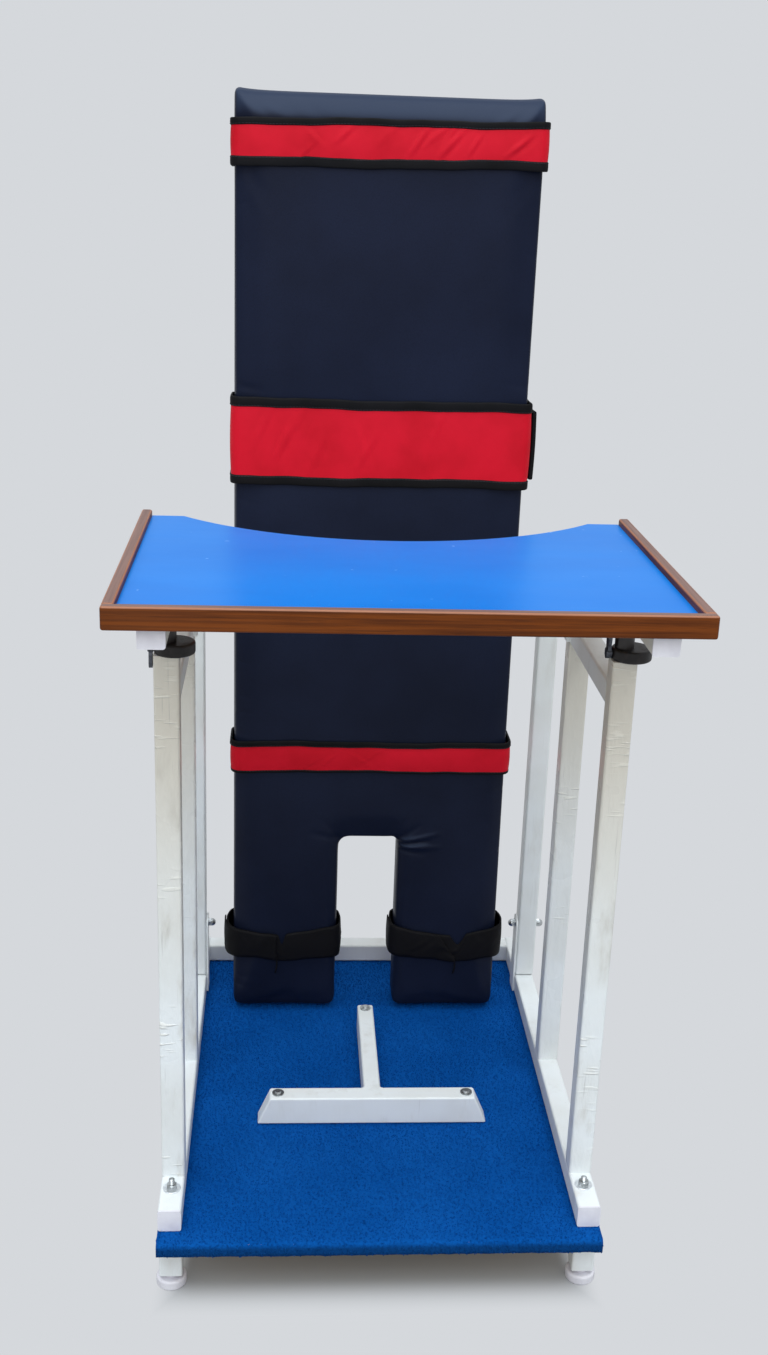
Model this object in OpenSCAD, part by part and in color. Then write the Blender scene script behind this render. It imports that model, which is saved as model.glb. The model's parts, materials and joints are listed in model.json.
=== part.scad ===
// Standing frame: a padded back board that tilts between two side frames, on a carpeted base,
// with a lift-up tray in front and a divider for the feet.
// Millimetres, +Z up, +Y away from the open front, origin at the bottom centre of the whole frame.

/* [Tube] */
// Side of the square steel tube
tube = 32; // [28:1:38]
// Wall of the steel tubes
tube_wall = 2; // [1.5:0.1:2.5]
// Outside corner radius of the square tube
tube_corner = 3.5; // [3:0.1:5]
// Plate thickness of the plastic tube caps
cap_t = 3; // [2:0.5:4]
// Length of a cap's plug inside the tube
cap_plug = 10; // [6:1:16]

/* [Base] */
// Width of the base board
base_w = 610; // [510:5:710]
// Depth of the base with its carpet
base_d = 796; // [660:2:930]
// Plywood thickness of the base board
board_t = 18; // [15:1:22]
// Thickness of the carpet
carpet_t = 3; // [2:0.5:5]
// Radius of the carpet where it folds over the front and back edges
carpet_edge_r = 7; // [5:0.5:9]
// Length of the leg stubs under the base
stub_h = 61; // [50:1:75]
// Distance of the leg stubs from the front and back edges
stub_setback = 36; // [30:1:40]
// Diameter of a levelling foot
foot_d = 42; // [34:1:50]
// Height of a levelling foot under its stub
foot_h = 22; // [18:1:28]
// Diameter of a levelling foot's stud
foot_stud_d = 10; // [8:1:12]

/* [Side frames] */
// Distance of the bottom rails from the front edge of the base
rail_setback = 31; // [20:1:45]
// Distance of the bottom rails from the back edge of the base
rail_back_setback = 2; // [2:1:12]
// Distance of the front uprights from the front end of the rails
front_setback = 72; // [60:1:90]
// Distance of the rear uprights from the back end of the rails
rear_setback = 105; // [88:1:125]
// Place of the middle uprights between the front and rear ones
middle_share = 0.52; // [0.4:0.01:0.6]
// Length of the uprights
upright_h = 769; // [640:1:900]
// Drop of the top rail below the tops of the uprights
top_rail_drop = 34; // [28:1:44]
// Diameter of the bolts that hold the rails to the base
base_bolt_d = 8; // [6:1:10]
// Distance of the base bolts from the uprights
base_bolt_gap = 26; // [22:1:30]

/* [Back frame] */
// Height of the tilt pivot above the bottom rails
pivot_h = 96; // [80:1:110]
// Diameter of the pivot bolts and the clamp bolts
bolt_d = 8; // [6:0.5:9]
// Thickness of the pivot lugs
lug_t = 3; // [3:0.5:5]
// Thickness of the slotted stay bars
stay_t = 5; // [4:0.5:6]
// Height of the slotted stay bars
stay_h = 29; // [26:1:32]
// Drop of the tilt clamp below the tops of the uprights
clamp_drop = 49; // [42:1:58]
// Largest backward tilt of the back board in degrees
tilt_angle = 10; // [6:0.5:10]
// Top of the lower cross tube below the tilt clamp
lower_cross_drop = 34; // [28:1:60]
// Distance of the back stiles from the centre as a share of the pad's width
stile_share = 0.29; // [0.24:0.01:0.31]
// Bottom of the back stiles above the pad's bottom edge
stile_bottom = 222; // [190:1:300]
// Top of the back stiles below the pad's top edge
stile_top_drop = 110; // [90:1:200]
// Diameter of the tilt clamp knobs
clamp_knob_d = 40; // [34:1:44]
// Thickness of the tilt clamp knobs
clamp_knob_t = 18; // [14:1:22]

/* [Tray] */
// Sides of the tray past the sides of the base
tray_side = 38; // [32:1:60]
// Outside depth of the tray
tray_d = 489; // [410:1:560]
// Front of the tray ahead of the base
tray_overhang = 99; // [80:1:110]
// Plywood thickness of the tray panel
panel_t = 11; // [9:0.5:15]
// Thickness of the blue laminate
laminate_t = 1; // [0.8:0.1:1.5]
// Thickness of the wooden lips
lip_t = 14; // [12:1:18]
// Height of the wooden lips
lip_h = 28; // [26:1:34]
// Height of the lips above the laminate
lip_rise = 9; // [6:1:12]
// Edge radius of the wooden lips
lip_r = 2.5; // [1:0.5:4]
// Straight back edge left on each side of the belly cut-out
cut_margin = 44; // [30:1:60]
// Depth of the belly cut-out
cut_depth = 125; // [90:1:150]
// Tray rails above the tops of the uprights
tray_rise = 69; // [60:1:90]
// Tray rails stop this far from the back edge of the tray
tray_rail_back = 20; // [10:1:40]
// Wall of the guide bushes round the tray legs
bush_wall = 1.5; // [1.2:0.1:2.5]
// Length of a tray leg inside its upright
leg_in = 220; // [200:5:300]
// Length of the guide bush in the top of a front upright
bush_h = 60; // [40:2:80]
// Diameter of the locking collars
collar_d = 52; // [46:1:60]
// Height of the locking collars
collar_h = 16; // [14:1:20]
// Offset of a collar's rim from its leg, to the right
collar_shift = 10; // [4:0.5:11]
// Diameter of the locking screws
lock_screw_d = 8; // [6:0.5:9]
// Diameter of a locking screw's hub
lock_hub_d = 14; // [12:0.5:16]
// Thickness of a locking screw's hub
lock_hub_t = 7; // [6:0.5:9]
// Length of a locking screw's wing from its axis
wing_l = 28; // [22:1:32]
// Width of a locking screw's wing at its end
wing_w = 16; // [12:0.5:20]
// Thickness of a locking screw's wing
wing_t = 4.5; // [3:0.5:5]

/* [Padded board] */
// Space between the padded board and the rear uprights
pad_gap = 48.4; // [30:0.2:60]
// Height of the padded board
pad_h = 1482; // [1240:2:1700]
// Plywood thickness of the padded board
ply_t = 18; // [15:1:20]
// Foam and cover in front of the plywood
foam_t = 47; // [40:1:52]
// Plywood edge inside the cover
ply_inset = 3; // [2:0.5:6]
// Bottom of the pad above the carpet
pad_clear = 4; // [3:0.5:10]
// Width of the gap between the legs of the pad
gap_w = 99; // [80:1:120]
// Height of the gap between the legs of the pad
gap_h = 320; // [300:2:340]
// Crown of the cushion
crown = 6; // [3:0.5:9]
// Rounding of the cushion's front edges
cushion_r = 16; // [10:1:20]
// How far the long sides draw in between the corners
draw_in = 3; // [0:0.5:5]
// How far the top edge draws in between its corners
ear = 5; // [0:0.5:8]

/* [Straps] */
// Thickness of the strap fabric
strap_t = 3; // [2:0.5:4]
// Length of strap folded behind the board
strap_return = 40; // [25:1:60]
// Height of the black edging along a strap
edging_h = 9; // [6:0.5:12]
// Top of the chest strap below the pad's top edge
chest_drop = 33; // [28:1:60]
// Height of the chest strap
chest_h = 67; // [60:1:80]
// Bottom of the waist strap above the tops of the uprights
waist_rise = 119; // [100:1:140]
// Height of the waist strap
waist_h = 132; // [110:1:150]
// Bottom of the knee strap above the pad's bottom edge
knee_z = 441; // [380:1:520]
// Height of the knee strap
knee_h = 55; // [45:1:70]
// Bottom of the ankle straps above the pad's bottom edge
ankle_z = 100; // [85:1:130]
// Height of the ankle straps
ankle_h = 60; // [50:1:70]
// Length of the overlapping end on an ankle strap
ankle_flap = 110; // [90:1:125]
// Width of the waist strap's end tab
tab_w = 42; // [34:1:50]
// Height of the waist strap's end tab
tab_h = 106; // [90:1:108]

/* [Foot divider] */
// Height of the foot divider
divider_h = 45; // [35:1:60]
// Length of the divider's cross bar along its top
bar_top_l = 312; // [280:2:340]
// Slope of the cross bar's ends, outwards from top to bottom
bar_slope = 19.5; // [10:0.5:24]
// Depth of the divider's cross bar
bar_d = 30; // [26:1:40]
// Width of the divider's stem
stem_w = 26; // [22:1:34]
// Space between the divider's stem and the padded board
stem_clear = 55; // [46:1:70]
// Place of the divider's cross bar along the bottom rails
divider_share = 0.31; // [0.26:0.01:0.36]
// Distance of the divider's screws from its ends
divider_screw_in = 12; // [10:0.5:14]
// Diameter of the wood screws
screw_d = 5; // [4:0.5:6]

/* [Fits] */
// Radial clearance of a pin, stud or screw in its hole
running_gap = 0.05; // [0.03:0.01:0.08]
// Clearance between a moving piece and its neighbour
moving_gap = 0.4; // [0.3:0.1:0.8]
// Clearance between the straps and the pad
soft_gap = 0.3; // [0.2:0.1:0.5]

/* [Hidden] */
$fn = 48;
over = 1;
sides = [-1, 1];

white_paint = [0.93, 0.93, 0.90];
white_plastic = [0.90, 0.89, 0.84];
carpet_blue = [0.02, 0.20, 0.45];
navy_vinyl = [0.08, 0.09, 0.14];
strap_red = [0.75, 0.06, 0.10];
webbing_black = [0.05, 0.05, 0.06];
tray_blue = [0.10, 0.42, 0.92];
lip_wood = [0.40, 0.22, 0.13];
ply_wood = [0.72, 0.58, 0.40];
zinc = [0.72, 0.73, 0.74];
black_plastic = [0.06, 0.06, 0.07];

// Heights of the stack, from the floor up
board_z = foot_h + stub_h;
carpet_z = board_z + board_t + carpet_t;
rail_top_z = carpet_z + tube;
upright_top_z = rail_top_z + upright_h;
top_rail_z = upright_top_z - top_rail_drop - tube;
tray_rail_z = upright_top_z + tray_rise;
panel_z = tray_rail_z + tube;
laminate_z = panel_z + panel_t;
lip_z = laminate_z + laminate_t + lip_rise - lip_h;
pivot_z = rail_top_z + pivot_h;
clamp_z = upright_top_z - clamp_drop;
clamp_r = clamp_z - pivot_z;
pad_z = carpet_z + pad_clear;
chest_z = pad_h - chest_drop - chest_h;
waist_z = upright_top_z + waist_rise - pad_z;
lower_cross_z = clamp_z - lower_cross_drop - tube;
upper_cross_z = upright_top_z - tube;

// Places along the depth, front to back
total_d = tray_overhang + base_d;
tray_front_y = -total_d / 2;
base_front_y = tray_front_y + tray_overhang;
base_back_y = total_d / 2;
rail_front_y = base_front_y + rail_setback;
rail_l = base_d - rail_setback - rail_back_setback;
rail_back_y = rail_front_y + rail_l;
front_y = rail_front_y + front_setback + tube / 2;
rear_y = rail_back_y - rear_setback - tube / 2;
middle_y = front_y + (rear_y - front_y) * middle_share;
stub_ys = [base_front_y + stub_setback + tube / 2, base_back_y - stub_setback - tube / 2];
base_bolt_ys = [front_y - tube / 2 - base_bolt_gap, rear_y + tube / 2 + base_bolt_gap];
back_y = rear_y - tube / 2;
ply_y = back_y - ply_t;
pad_front_y = ply_y - foam_t;
tray_back_y = tray_front_y + tray_d;
divider_y = rail_front_y + rail_l * divider_share;
stem_back_y = pad_front_y - stem_clear;

// Places across the width
side_x = (base_w - tube) / 2;
inner_x = side_x - tube / 2;
rear_x = side_x + moving_gap;
rear_inner_x = rear_x - tube / 2;
rear_outer_x = rear_x + tube / 2;
pad_w = 2 * (rear_inner_x - pad_gap);
stile_x = pad_w * stile_share;
bar_bottom_l = bar_top_l + 2 * bar_slope;
tray_w = base_w + 2 * tray_side;
panel_w = tray_w - 2 * lip_t;
cut_w = panel_w - 2 * cut_margin;
cut_r = (pow(cut_w / 2, 2) + pow(cut_depth, 2)) / (2 * cut_depth);

// Small hardware in proportion to its screw or bolt
nut_w = 1.6;
nut_h = 0.8;
washer_w = 2.2;
flange_w = 3.6;
washer_t = 1.6;
head_w = 2;
head_h = 0.5;
tube_in = tube - 2 * tube_wall;
leg_d = tube_in - 2 * bush_wall;
bolt_hole = bolt_d + 2 * running_gap;
dome_h = bolt_d;
stud_tail = 10;
flute_share = 0.12;

// Square with round corners, centred
module round_square(size, r) {
    square([size[0] - 2 * r, size[1]], center = true);
    square([size[0], size[1] - 2 * r], center = true);
    for (sx = sides, sy = sides)
        translate([sx * (size[0] / 2 - r), sy * (size[1] / 2 - r)])
            circle(r);
}

// Section of the square tube
module tube_section() {
    difference() {
        round_square([tube, tube], tube_corner);
        round_square([tube_in, tube_in], tube_corner - tube_wall);
    }
}

// Square tube along Z, Y or X
module tube_z(length) {
    linear_extrude(length)
        tube_section();
}

module tube_y(length) {
    rotate([-90, 0, 0])
        tube_z(length);
}

module tube_x(length) {
    rotate([0, 90, 0])
        tube_z(length);
}

// Cap that closes a tube which ends at z = 0, with its plug below
module tube_cap() {
    linear_extrude(cap_t)
        round_square([tube, tube], tube_corner);
    plug = tube_in - 2 * running_gap;
    translate([0, 0, -cap_plug])
        linear_extrude(cap_plug)
            round_square([plug, plug], tube_corner - tube_wall);
}

// Rod along X, centred on x
module rod_x(d, length) {
    rotate([0, 90, 0])
        cylinder(d = d, h = length, center = true);
}

// Screw with a flanged pan head at z = 0 and its shank below
module flanged_screw(d, length) {
    cylinder(d = d, h = length + washer_t);
    translate([0, 0, length])
        cylinder(d = d * flange_w, h = washer_t);
    translate([0, 0, length + washer_t])
        cylinder(d1 = d * head_w, d2 = d * nut_w, h = d * head_h);
}

// Plain pan head screw that points along +Z, with its head below z = 0
module pan_screw(d, length) {
    cylinder(d = d, h = length);
    translate([0, 0, -d * head_h])
        cylinder(d1 = d * nut_w, d2 = d * head_w, h = d * head_h);
}

// Hex nut with a bore, standing on z = 0
module hex_nut(d) {
    difference() {
        cylinder(d = d * nut_w / cos(30), h = d * nut_h, $fn = 6);
        translate([0, 0, -over])
            cylinder(d = d + 2 * running_gap, h = d * nut_h + 2 * over);
    }
}

// Plain washer standing on z = 0
module washer(d) {
    difference() {
        cylinder(d = d * washer_w, h = washer_t);
        translate([0, 0, -over])
            cylinder(d = d + 2 * running_gap, h = washer_t + 2 * over);
    }
}

// Dome nut on z = 0: a hex with a round cap, hollow for the bolt's end
module dome_nut(d) {
    difference() {
        union() {
            cylinder(d = d * nut_w / cos(30), h = d * nut_h, $fn = 6);
            translate([0, 0, d * nut_h])
                intersection() {
                    sphere(d = d * nut_w);
                    cylinder(d = d * nut_w, h = d);
                }
        }
        translate([0, 0, -over])
            cylinder(d = d + 2 * running_gap, h = d * nut_h + over);
    }
}

// Fluted round knob on z = 0
module fluted_knob(d, t, flutes) {
    flute_d = d * flute_share * 2;
    difference() {
        rotate_extrude()
            union() {
                square([d / 2 - t / 4, t]);
                translate([0, t / 4])
                    square([d / 2, t / 2]);
                for (z = [t / 4, 3 * t / 4])
                    translate([d / 2 - t / 4, z])
                        circle(t / 4);
            }
        for (i = [0:flutes - 1])
            rotate([0, 0, i * 360 / flutes])
                translate([d / 2 + flute_d / 4, 0, -over])
                    cylinder(d = flute_d, h = t + 2 * over);
    }
}

// Base

module base_board() {
    depth = base_d - 2 * carpet_t;
    color(ply_wood)
        difference() {
            translate([-base_w / 2, base_front_y + carpet_t, board_z])
                cube([base_w, depth, board_t]);
            for (sx = sides, y = base_bolt_ys)
                translate([sx * side_x, y, board_z - over])
                    cylinder(d = base_bolt_d + 2 * running_gap, h = board_t + 2 * over);
            divider_screw_holes();
        }
}

// Carpet over the top of the board, folded down over its front and back edges
module base_carpet() {
    height = board_t + carpet_t;
    color(carpet_blue)
        difference() {
            translate([base_w / 2, 0, board_z])
                rotate([0, -90, 0])
                    linear_extrude(base_w)
                        difference() {
                            carpet_outline(height);
                            translate([-over, base_front_y + carpet_t])
                                square([board_t + over, base_d - 2 * carpet_t]);
                        }
            for (sx = sides, y = base_bolt_ys)
                translate([sx * side_x, y, board_z])
                    cylinder(d = base_bolt_d + 2 * running_gap, h = height + over);
            divider_screw_holes();
        }
}

// Side view of the carpet: height along X, depth along Y
module carpet_outline(height) {
    translate([0, base_front_y])
        square([height - carpet_edge_r, base_d]);
    translate([0, base_front_y + carpet_edge_r])
        square([height, base_d - 2 * carpet_edge_r]);
    for (y = [base_front_y + carpet_edge_r, base_back_y - carpet_edge_r])
        translate([height - carpet_edge_r, y])
            circle(carpet_edge_r);
}

module at_stubs() {
    for (sx = sides, y = stub_ys)
        translate([sx * side_x, y, 0])
            children();
}

module leg_stubs() {
    color(white_paint)
        at_stubs()
            translate([0, 0, foot_h])
                tube_z(stub_h);
}

// Threaded plastic inserts in the leg stubs
module stub_inserts() {
    size = tube_in - 2 * running_gap;
    color(white_plastic)
        at_stubs()
            translate([0, 0, foot_h])
                difference() {
                    linear_extrude(stub_h / 2)
                        round_square([size, size], tube_corner - tube_wall);
                    translate([0, 0, -over])
                        cylinder(d = foot_stud_d + 2 * running_gap, h = stub_h);
                }
}

// Levelling foot: a moulded round pad on a stud
module foot(sx, y) {
    edge = foot_h / 6;
    neck = foot_h / 3;
    top = foot_h - moving_gap;
    color(white_plastic)
        translate([sx * side_x, y, 0])
            union() {
                rotate_extrude()
                    union() {
                        square([foot_d / 2 - edge, foot_h - neck]);
                        translate([0, edge])
                            square([foot_d / 2, foot_h - neck - 2 * edge]);
                        for (z = [edge, foot_h - neck - edge])
                            translate([foot_d / 2 - edge, z])
                                circle(edge);
                    }
                cylinder(d = foot_d / 2, h = top);
                cylinder(d = foot_stud_d, h = foot_h + stub_h / 2);
            }
}

module front_left_foot() {
    foot(-1, stub_ys[0]);
}

module front_right_foot() {
    foot(1, stub_ys[0]);
}

module rear_left_foot() {
    foot(-1, stub_ys[1]);
}

module rear_right_foot() {
    foot(1, stub_ys[1]);
}

// Side frames

module bottom_rail(sx) {
    color(white_paint)
        difference() {
            translate([sx * side_x, rail_front_y, carpet_z + tube / 2])
                tube_y(rail_l);
            for (y = base_bolt_ys)
                translate([sx * side_x, y, carpet_z - over])
                    cylinder(d = base_bolt_d + 2 * running_gap, h = tube + 2 * over);
        }
}

module left_bottom_rail() {
    bottom_rail(-1);
}

module right_bottom_rail() {
    bottom_rail(1);
}

// Cross rail between the back ends of the bottom rails
module rear_cross_rail() {
    color(white_paint)
        translate([-inner_x, rail_back_y - tube / 2, carpet_z + tube / 2])
            tube_x(2 * inner_x);
}

// Caps on the front and back ends of the rails and on the middle uprights
module tube_caps() {
    color(white_plastic)
        for (sx = sides) {
            translate([sx * side_x, rail_front_y, carpet_z + tube / 2])
                rotate([90, 0, 0])
                    tube_cap();
            translate([sx * side_x, rail_back_y, carpet_z + tube / 2])
                rotate([-90, 0, 0])
                    linear_extrude(rail_back_setback)
                        round_square([tube, tube], tube_corner);
            translate([sx * side_x, middle_y, upright_top_z])
                tube_cap();
        }
}

module upright(sx, y) {
    color(white_paint)
        translate([sx * side_x, y, rail_top_z])
            tube_z(upright_h);
}

module front_left_upright() {
    upright(-1, front_y);
}

module front_right_upright() {
    upright(1, front_y);
}

module middle_left_upright() {
    upright(-1, middle_y);
}

module middle_right_upright() {
    upright(1, middle_y);
}

// Rail between the front and middle uprights, below their tops
module top_rail(sx) {
    color(white_paint)
        translate([sx * side_x, front_y + tube / 2, top_rail_z + tube / 2])
            tube_y(middle_y - front_y - tube);
}

module left_top_rail() {
    top_rail(-1);
}

module right_top_rail() {
    top_rail(1);
}

// Plastic guides in the tops of the front uprights
module leg_bushes() {
    size = tube_in - 2 * running_gap;
    color(white_plastic)
        for (sx = sides)
            translate([sx * side_x, front_y, upright_top_z - bush_h])
                difference() {
                    linear_extrude(bush_h)
                        round_square([size, size], tube_corner - tube_wall);
                    translate([0, 0, -over])
                        cylinder(d = leg_d + 2 * running_gap, h = bush_h + 2 * over);
                }
}

module at_base_bolts() {
    for (sx = sides, y = base_bolt_ys)
        translate([sx * side_x, y, 0])
            children();
}

// Bolts up through the base and the rails, with their heads under the board
module base_bolts() {
    head = base_bolt_d * nut_h;
    color(zinc)
        at_base_bolts()
            translate([0, 0, board_z]) {
                cylinder(d = base_bolt_d, h = rail_top_z - board_z + stud_tail + washer_t);
                translate([0, 0, -head])
                    cylinder(d = base_bolt_d * nut_w / cos(30), h = head, $fn = 6);
            }
}

// Washers and nuts on the rails
module base_nuts() {
    color(zinc)
        at_base_bolts() {
            translate([0, 0, rail_top_z])
                washer(base_bolt_d);
            translate([0, 0, rail_top_z + washer_t])
                hex_nut(base_bolt_d);
        }
}

// Tilt pivot and stays

// Flat lugs on the inner faces of the bottom rails, round at the top
module pivot_lugs() {
    color(white_paint)
        for (sx = sides)
            translate([sx * (inner_x - lug_t / 2), rear_y, 0])
                rotate([90, 0, 90])
                    translate([0, 0, -lug_t / 2])
                        linear_extrude(lug_t)
                            difference() {
                                lug_outline();
                                translate([0, pivot_z])
                                    circle(d = bolt_hole);
                            }
}

module lug_outline() {
    translate([-tube / 2, carpet_z])
        square([tube, pivot_z - carpet_z]);
    translate([0, pivot_z])
        circle(d = tube);
}

// Pivot bolts through the lugs and the rear uprights
module pivot_bolts() {
    in = inner_x - lug_t - dome_h / 2;
    out = rear_outer_x + moving_gap + dome_h / 2;
    color(zinc)
        for (sx = sides)
            translate([sx * (in + out) / 2, rear_y, pivot_z])
                rod_x(bolt_d, out - in);
}

// Dome nuts on both ends of the pivot bolts
module pivot_nuts() {
    color(zinc)
        for (sx = sides) {
            translate([sx * (inner_x - lug_t), rear_y, pivot_z])
                rotate([0, -90 * sx, 0])
                    dome_nut(bolt_d);
            translate([sx * (rear_outer_x + moving_gap), rear_y, pivot_z])
                rotate([0, 90 * sx, 0])
                    dome_nut(bolt_d);
        }
}

// Stay bars from the middle uprights past the rear ones, slotted round the tilt pivot
module stay_bars() {
    color(white_paint)
        for (sx = sides)
            translate([sx * (inner_x - stay_t / 2), rear_y, pivot_z])
                rotate([90, 0, 90])
                    translate([0, 0, -stay_t / 2])
                        linear_extrude(stay_t)
                            difference() {
                                stay_outline();
                                arc_band(bolt_d + 2 * moving_gap, tilt_angle);
                            }
}

// Side view of a stay: straight to the middle upright, then curved round the pivot
module stay_outline() {
    reach = rear_y - middle_y + tube / 2;
    translate([-reach, clamp_r - stay_h / 2])
        square([reach, stay_h]);
    arc_band(stay_h, tilt_angle);
}

// Band of one width along the clamp's circle, from upright to an angle, with round ends
module arc_band(width, angle) {
    reach = clamp_r * 2;
    intersection() {
        difference() {
            circle(clamp_r + width / 2, $fn = 180);
            circle(clamp_r - width / 2, $fn = 180);
        }
        polygon([[0, 0], [0, reach], [reach * sin(angle), reach * cos(angle)]]);
    }
    for (a = [0, angle])
        translate([clamp_r * sin(a), clamp_r * cos(a)])
            circle(d = width);
}

// Foot divider

module divider_bar() {
    color(white_paint)
        difference() {
            translate([0, divider_y + bar_d, carpet_z])
                rotate([90, 0, 0])
                    linear_extrude(bar_d)
                        polygon([
                            [-bar_bottom_l / 2, 0], [bar_bottom_l / 2, 0],
                            [bar_top_l / 2, divider_h], [-bar_top_l / 2, divider_h]
                        ]);
            divider_screw_holes();
        }
}

module divider_stem() {
    color(white_paint)
        difference() {
            translate([-stem_w / 2, divider_y + bar_d, carpet_z])
                cube([stem_w, stem_back_y - divider_y - bar_d, divider_h]);
            divider_screw_holes();
        }
}

module at_divider_screws() {
    for (sx = sides)
        translate([sx * (bar_top_l / 2 - divider_screw_in), divider_y + bar_d / 2, board_z])
            children();
    translate([0, stem_back_y - divider_screw_in, board_z])
        children();
}

module divider_screw_holes() {
    at_divider_screws()
        translate([0, 0, -over])
            cylinder(d = screw_d + 2 * running_gap, h = carpet_z - board_z + divider_h + 2 * over);
}

module divider_screws() {
    color(zinc)
        at_divider_screws()
            flanged_screw(screw_d, carpet_z - board_z + divider_h);
}

// Back frame

module rear_upright(sx) {
    color(white_paint)
        difference() {
            translate([sx * rear_x, rear_y, rail_top_z + 2 * over])
                tube_z(upright_h - 2 * over);
            for (z = [pivot_z, clamp_z])
                translate([sx * rear_x, rear_y, z])
                    rod_x(bolt_hole, tube + 2 * over);
        }
}

module rear_left_upright() {
    rear_upright(-1);
}

module rear_right_upright() {
    rear_upright(1);
}

module cross_tube(z) {
    color(white_paint)
        difference() {
            translate([-rear_inner_x, rear_y, z + tube / 2])
                tube_x(2 * rear_inner_x);
            pad_screw_holes();
        }
}

module upper_cross_tube() {
    cross_tube(upper_cross_z);
}

module lower_cross_tube() {
    cross_tube(lower_cross_z);
}

// Upright stiles behind the pad, below and above the cross tubes
module back_stiles() {
    low_z = pad_z + stile_bottom;
    high_z = upper_cross_z + tube;
    color(white_paint)
        for (sx = sides) {
            translate([sx * stile_x, rear_y, low_z])
                tube_z(lower_cross_z - low_z);
            translate([sx * stile_x, rear_y, high_z])
                tube_z(pad_z + pad_h - stile_top_drop - high_z);
        }
}

module back_caps() {
    color(white_plastic)
        for (sx = sides) {
            translate([sx * rear_x, rear_y, upright_top_z])
                tube_cap();
            translate([sx * stile_x, rear_y, pad_z + pad_h - stile_top_drop])
                tube_cap();
            translate([sx * stile_x, rear_y, pad_z + stile_bottom])
                rotate([180, 0, 0])
                    tube_cap();
        }
}

// Outline of the padded board seen from the front, with the gap between its legs
module pad_outline(inset) {
    difference() {
        translate([-pad_w / 2 + inset, inset])
            square([pad_w - 2 * inset, pad_h - 2 * inset - ear]);
        translate([-gap_w / 2 - inset, -over])
            square([gap_w + 2 * inset, gap_h + inset + over]);
    }
}

module pad_board() {
    color(ply_wood)
        difference() {
            translate([0, back_y, pad_z])
                rotate([90, 0, 0])
                    linear_extrude(ply_t)
                        pad_outline(ply_inset);
            pad_screw_holes();
        }
}

pad_screw_l = tube + ply_t * 0.75;

module at_pad_screws() {
    for (sx = sides, z = [lower_cross_z, upper_cross_z])
        translate([sx * stile_x, rear_y + tube / 2, z + tube / 2])
            rotate([90, 0, 0])
                children();
}

module pad_screw_holes() {
    at_pad_screws()
        translate([0, 0, -over])
            cylinder(d = screw_d + 2 * running_gap, h = pad_screw_l + 2 * over);
}

module pad_screws() {
    color(zinc)
        at_pad_screws()
            pan_screw(screw_d, pad_screw_l);
}

// Cushion: a grid over the board's outline, raised by its distance from the nearest edge

edge_steps = [0, cushion_r / 4, cushion_r];
grid_x = concat(
    graded(-pad_w / 2, -gap_w / 2, 3),
    [for (i = [0:3]) -gap_w / 2 + gap_w * i / 4],
    graded(gap_w / 2, pad_w / 2, 3),
    [pad_w / 2]
);
grid_z = concat(graded(0, gap_h, 4), graded(gap_h, pad_h, 9), [pad_h]);
cols = len(grid_x);
rows = len(grid_z);

// Grid lines from a up to b, close together near both ends, without b itself
function graded(a, b, n) = [
    for (s = edge_steps) a + s,
    for (i = [1:n - 1]) a + (b - a) * i / n,
    b - cushion_r, b - cushion_r / 4
];

function edge_distance(x, z) = min(
    pad_w / 2 - abs(x), pad_h - z, abs(x) < gap_w / 2 ? z - gap_h : z,
    norm([max(abs(x) - gap_w / 2, 0), max(z - gap_h, 0)])
);

function foam_depth(d) =
    let (t = min(max(d, 0) / cushion_r, 1))
    foam_t - crown - cushion_r + cushion_r * sqrt(1 - pow(1 - t, 2))
        + crown * (1 - exp(-max(d, 0) / (4 * cushion_r)));

function drawn_x(x, z) = x * (1 - 2 * draw_in / pad_w * sin(180 * z / pad_h));

function drawn_z(x, z) = z - ear * (1 - pow(2 * x / pad_w, 2)) * pow(z / pad_h, 8);

function cell(i, j) =
    i >= 0 && j >= 0 && i < cols - 1 && j < rows - 1
    && !(grid_x[i] >= -gap_w / 2 && grid_x[i + 1] <= gap_w / 2 && grid_z[j + 1] <= gap_h);

function front_at(i, j) = j * cols + i;

function back_at(i, j) = cols * rows + front_at(i, j);

// Two triangles that close the side of the cushion along one front edge
function wall(p, q) =
    let (n = cols * rows)
    [[p, q, q + n], [p, q + n, p + n]];

module pad_cushion() {
    points = [
        for (layer = [1, 0], j = [0:rows - 1], i = [0:cols - 1])
            let (x = grid_x[i], z = grid_z[j], d = edge_distance(x, z))
            [drawn_x(x, z), ply_y - layer * foam_depth(d), pad_z + drawn_z(x, z)]
    ];
    faces = [
        for (j = [0:rows - 2], i = [0:cols - 2]) if (cell(i, j))
            let (
                a = front_at(i, j), b = front_at(i + 1, j),
                c = front_at(i + 1, j + 1), d = front_at(i, j + 1), n = cols * rows
            )
            each concat(
                [[a, d, c], [a, c, b], [a + n, b + n, c + n], [a + n, c + n, d + n]],
                cell(i - 1, j) ? [] : wall(d, a),
                cell(i, j + 1) ? [] : wall(c, d),
                cell(i + 1, j) ? [] : wall(b, c),
                cell(i, j - 1) ? [] : wall(a, b)
            )
    ];
    color(navy_vinyl)
        polyhedron(points, faces, convexity = 6);
}

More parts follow.
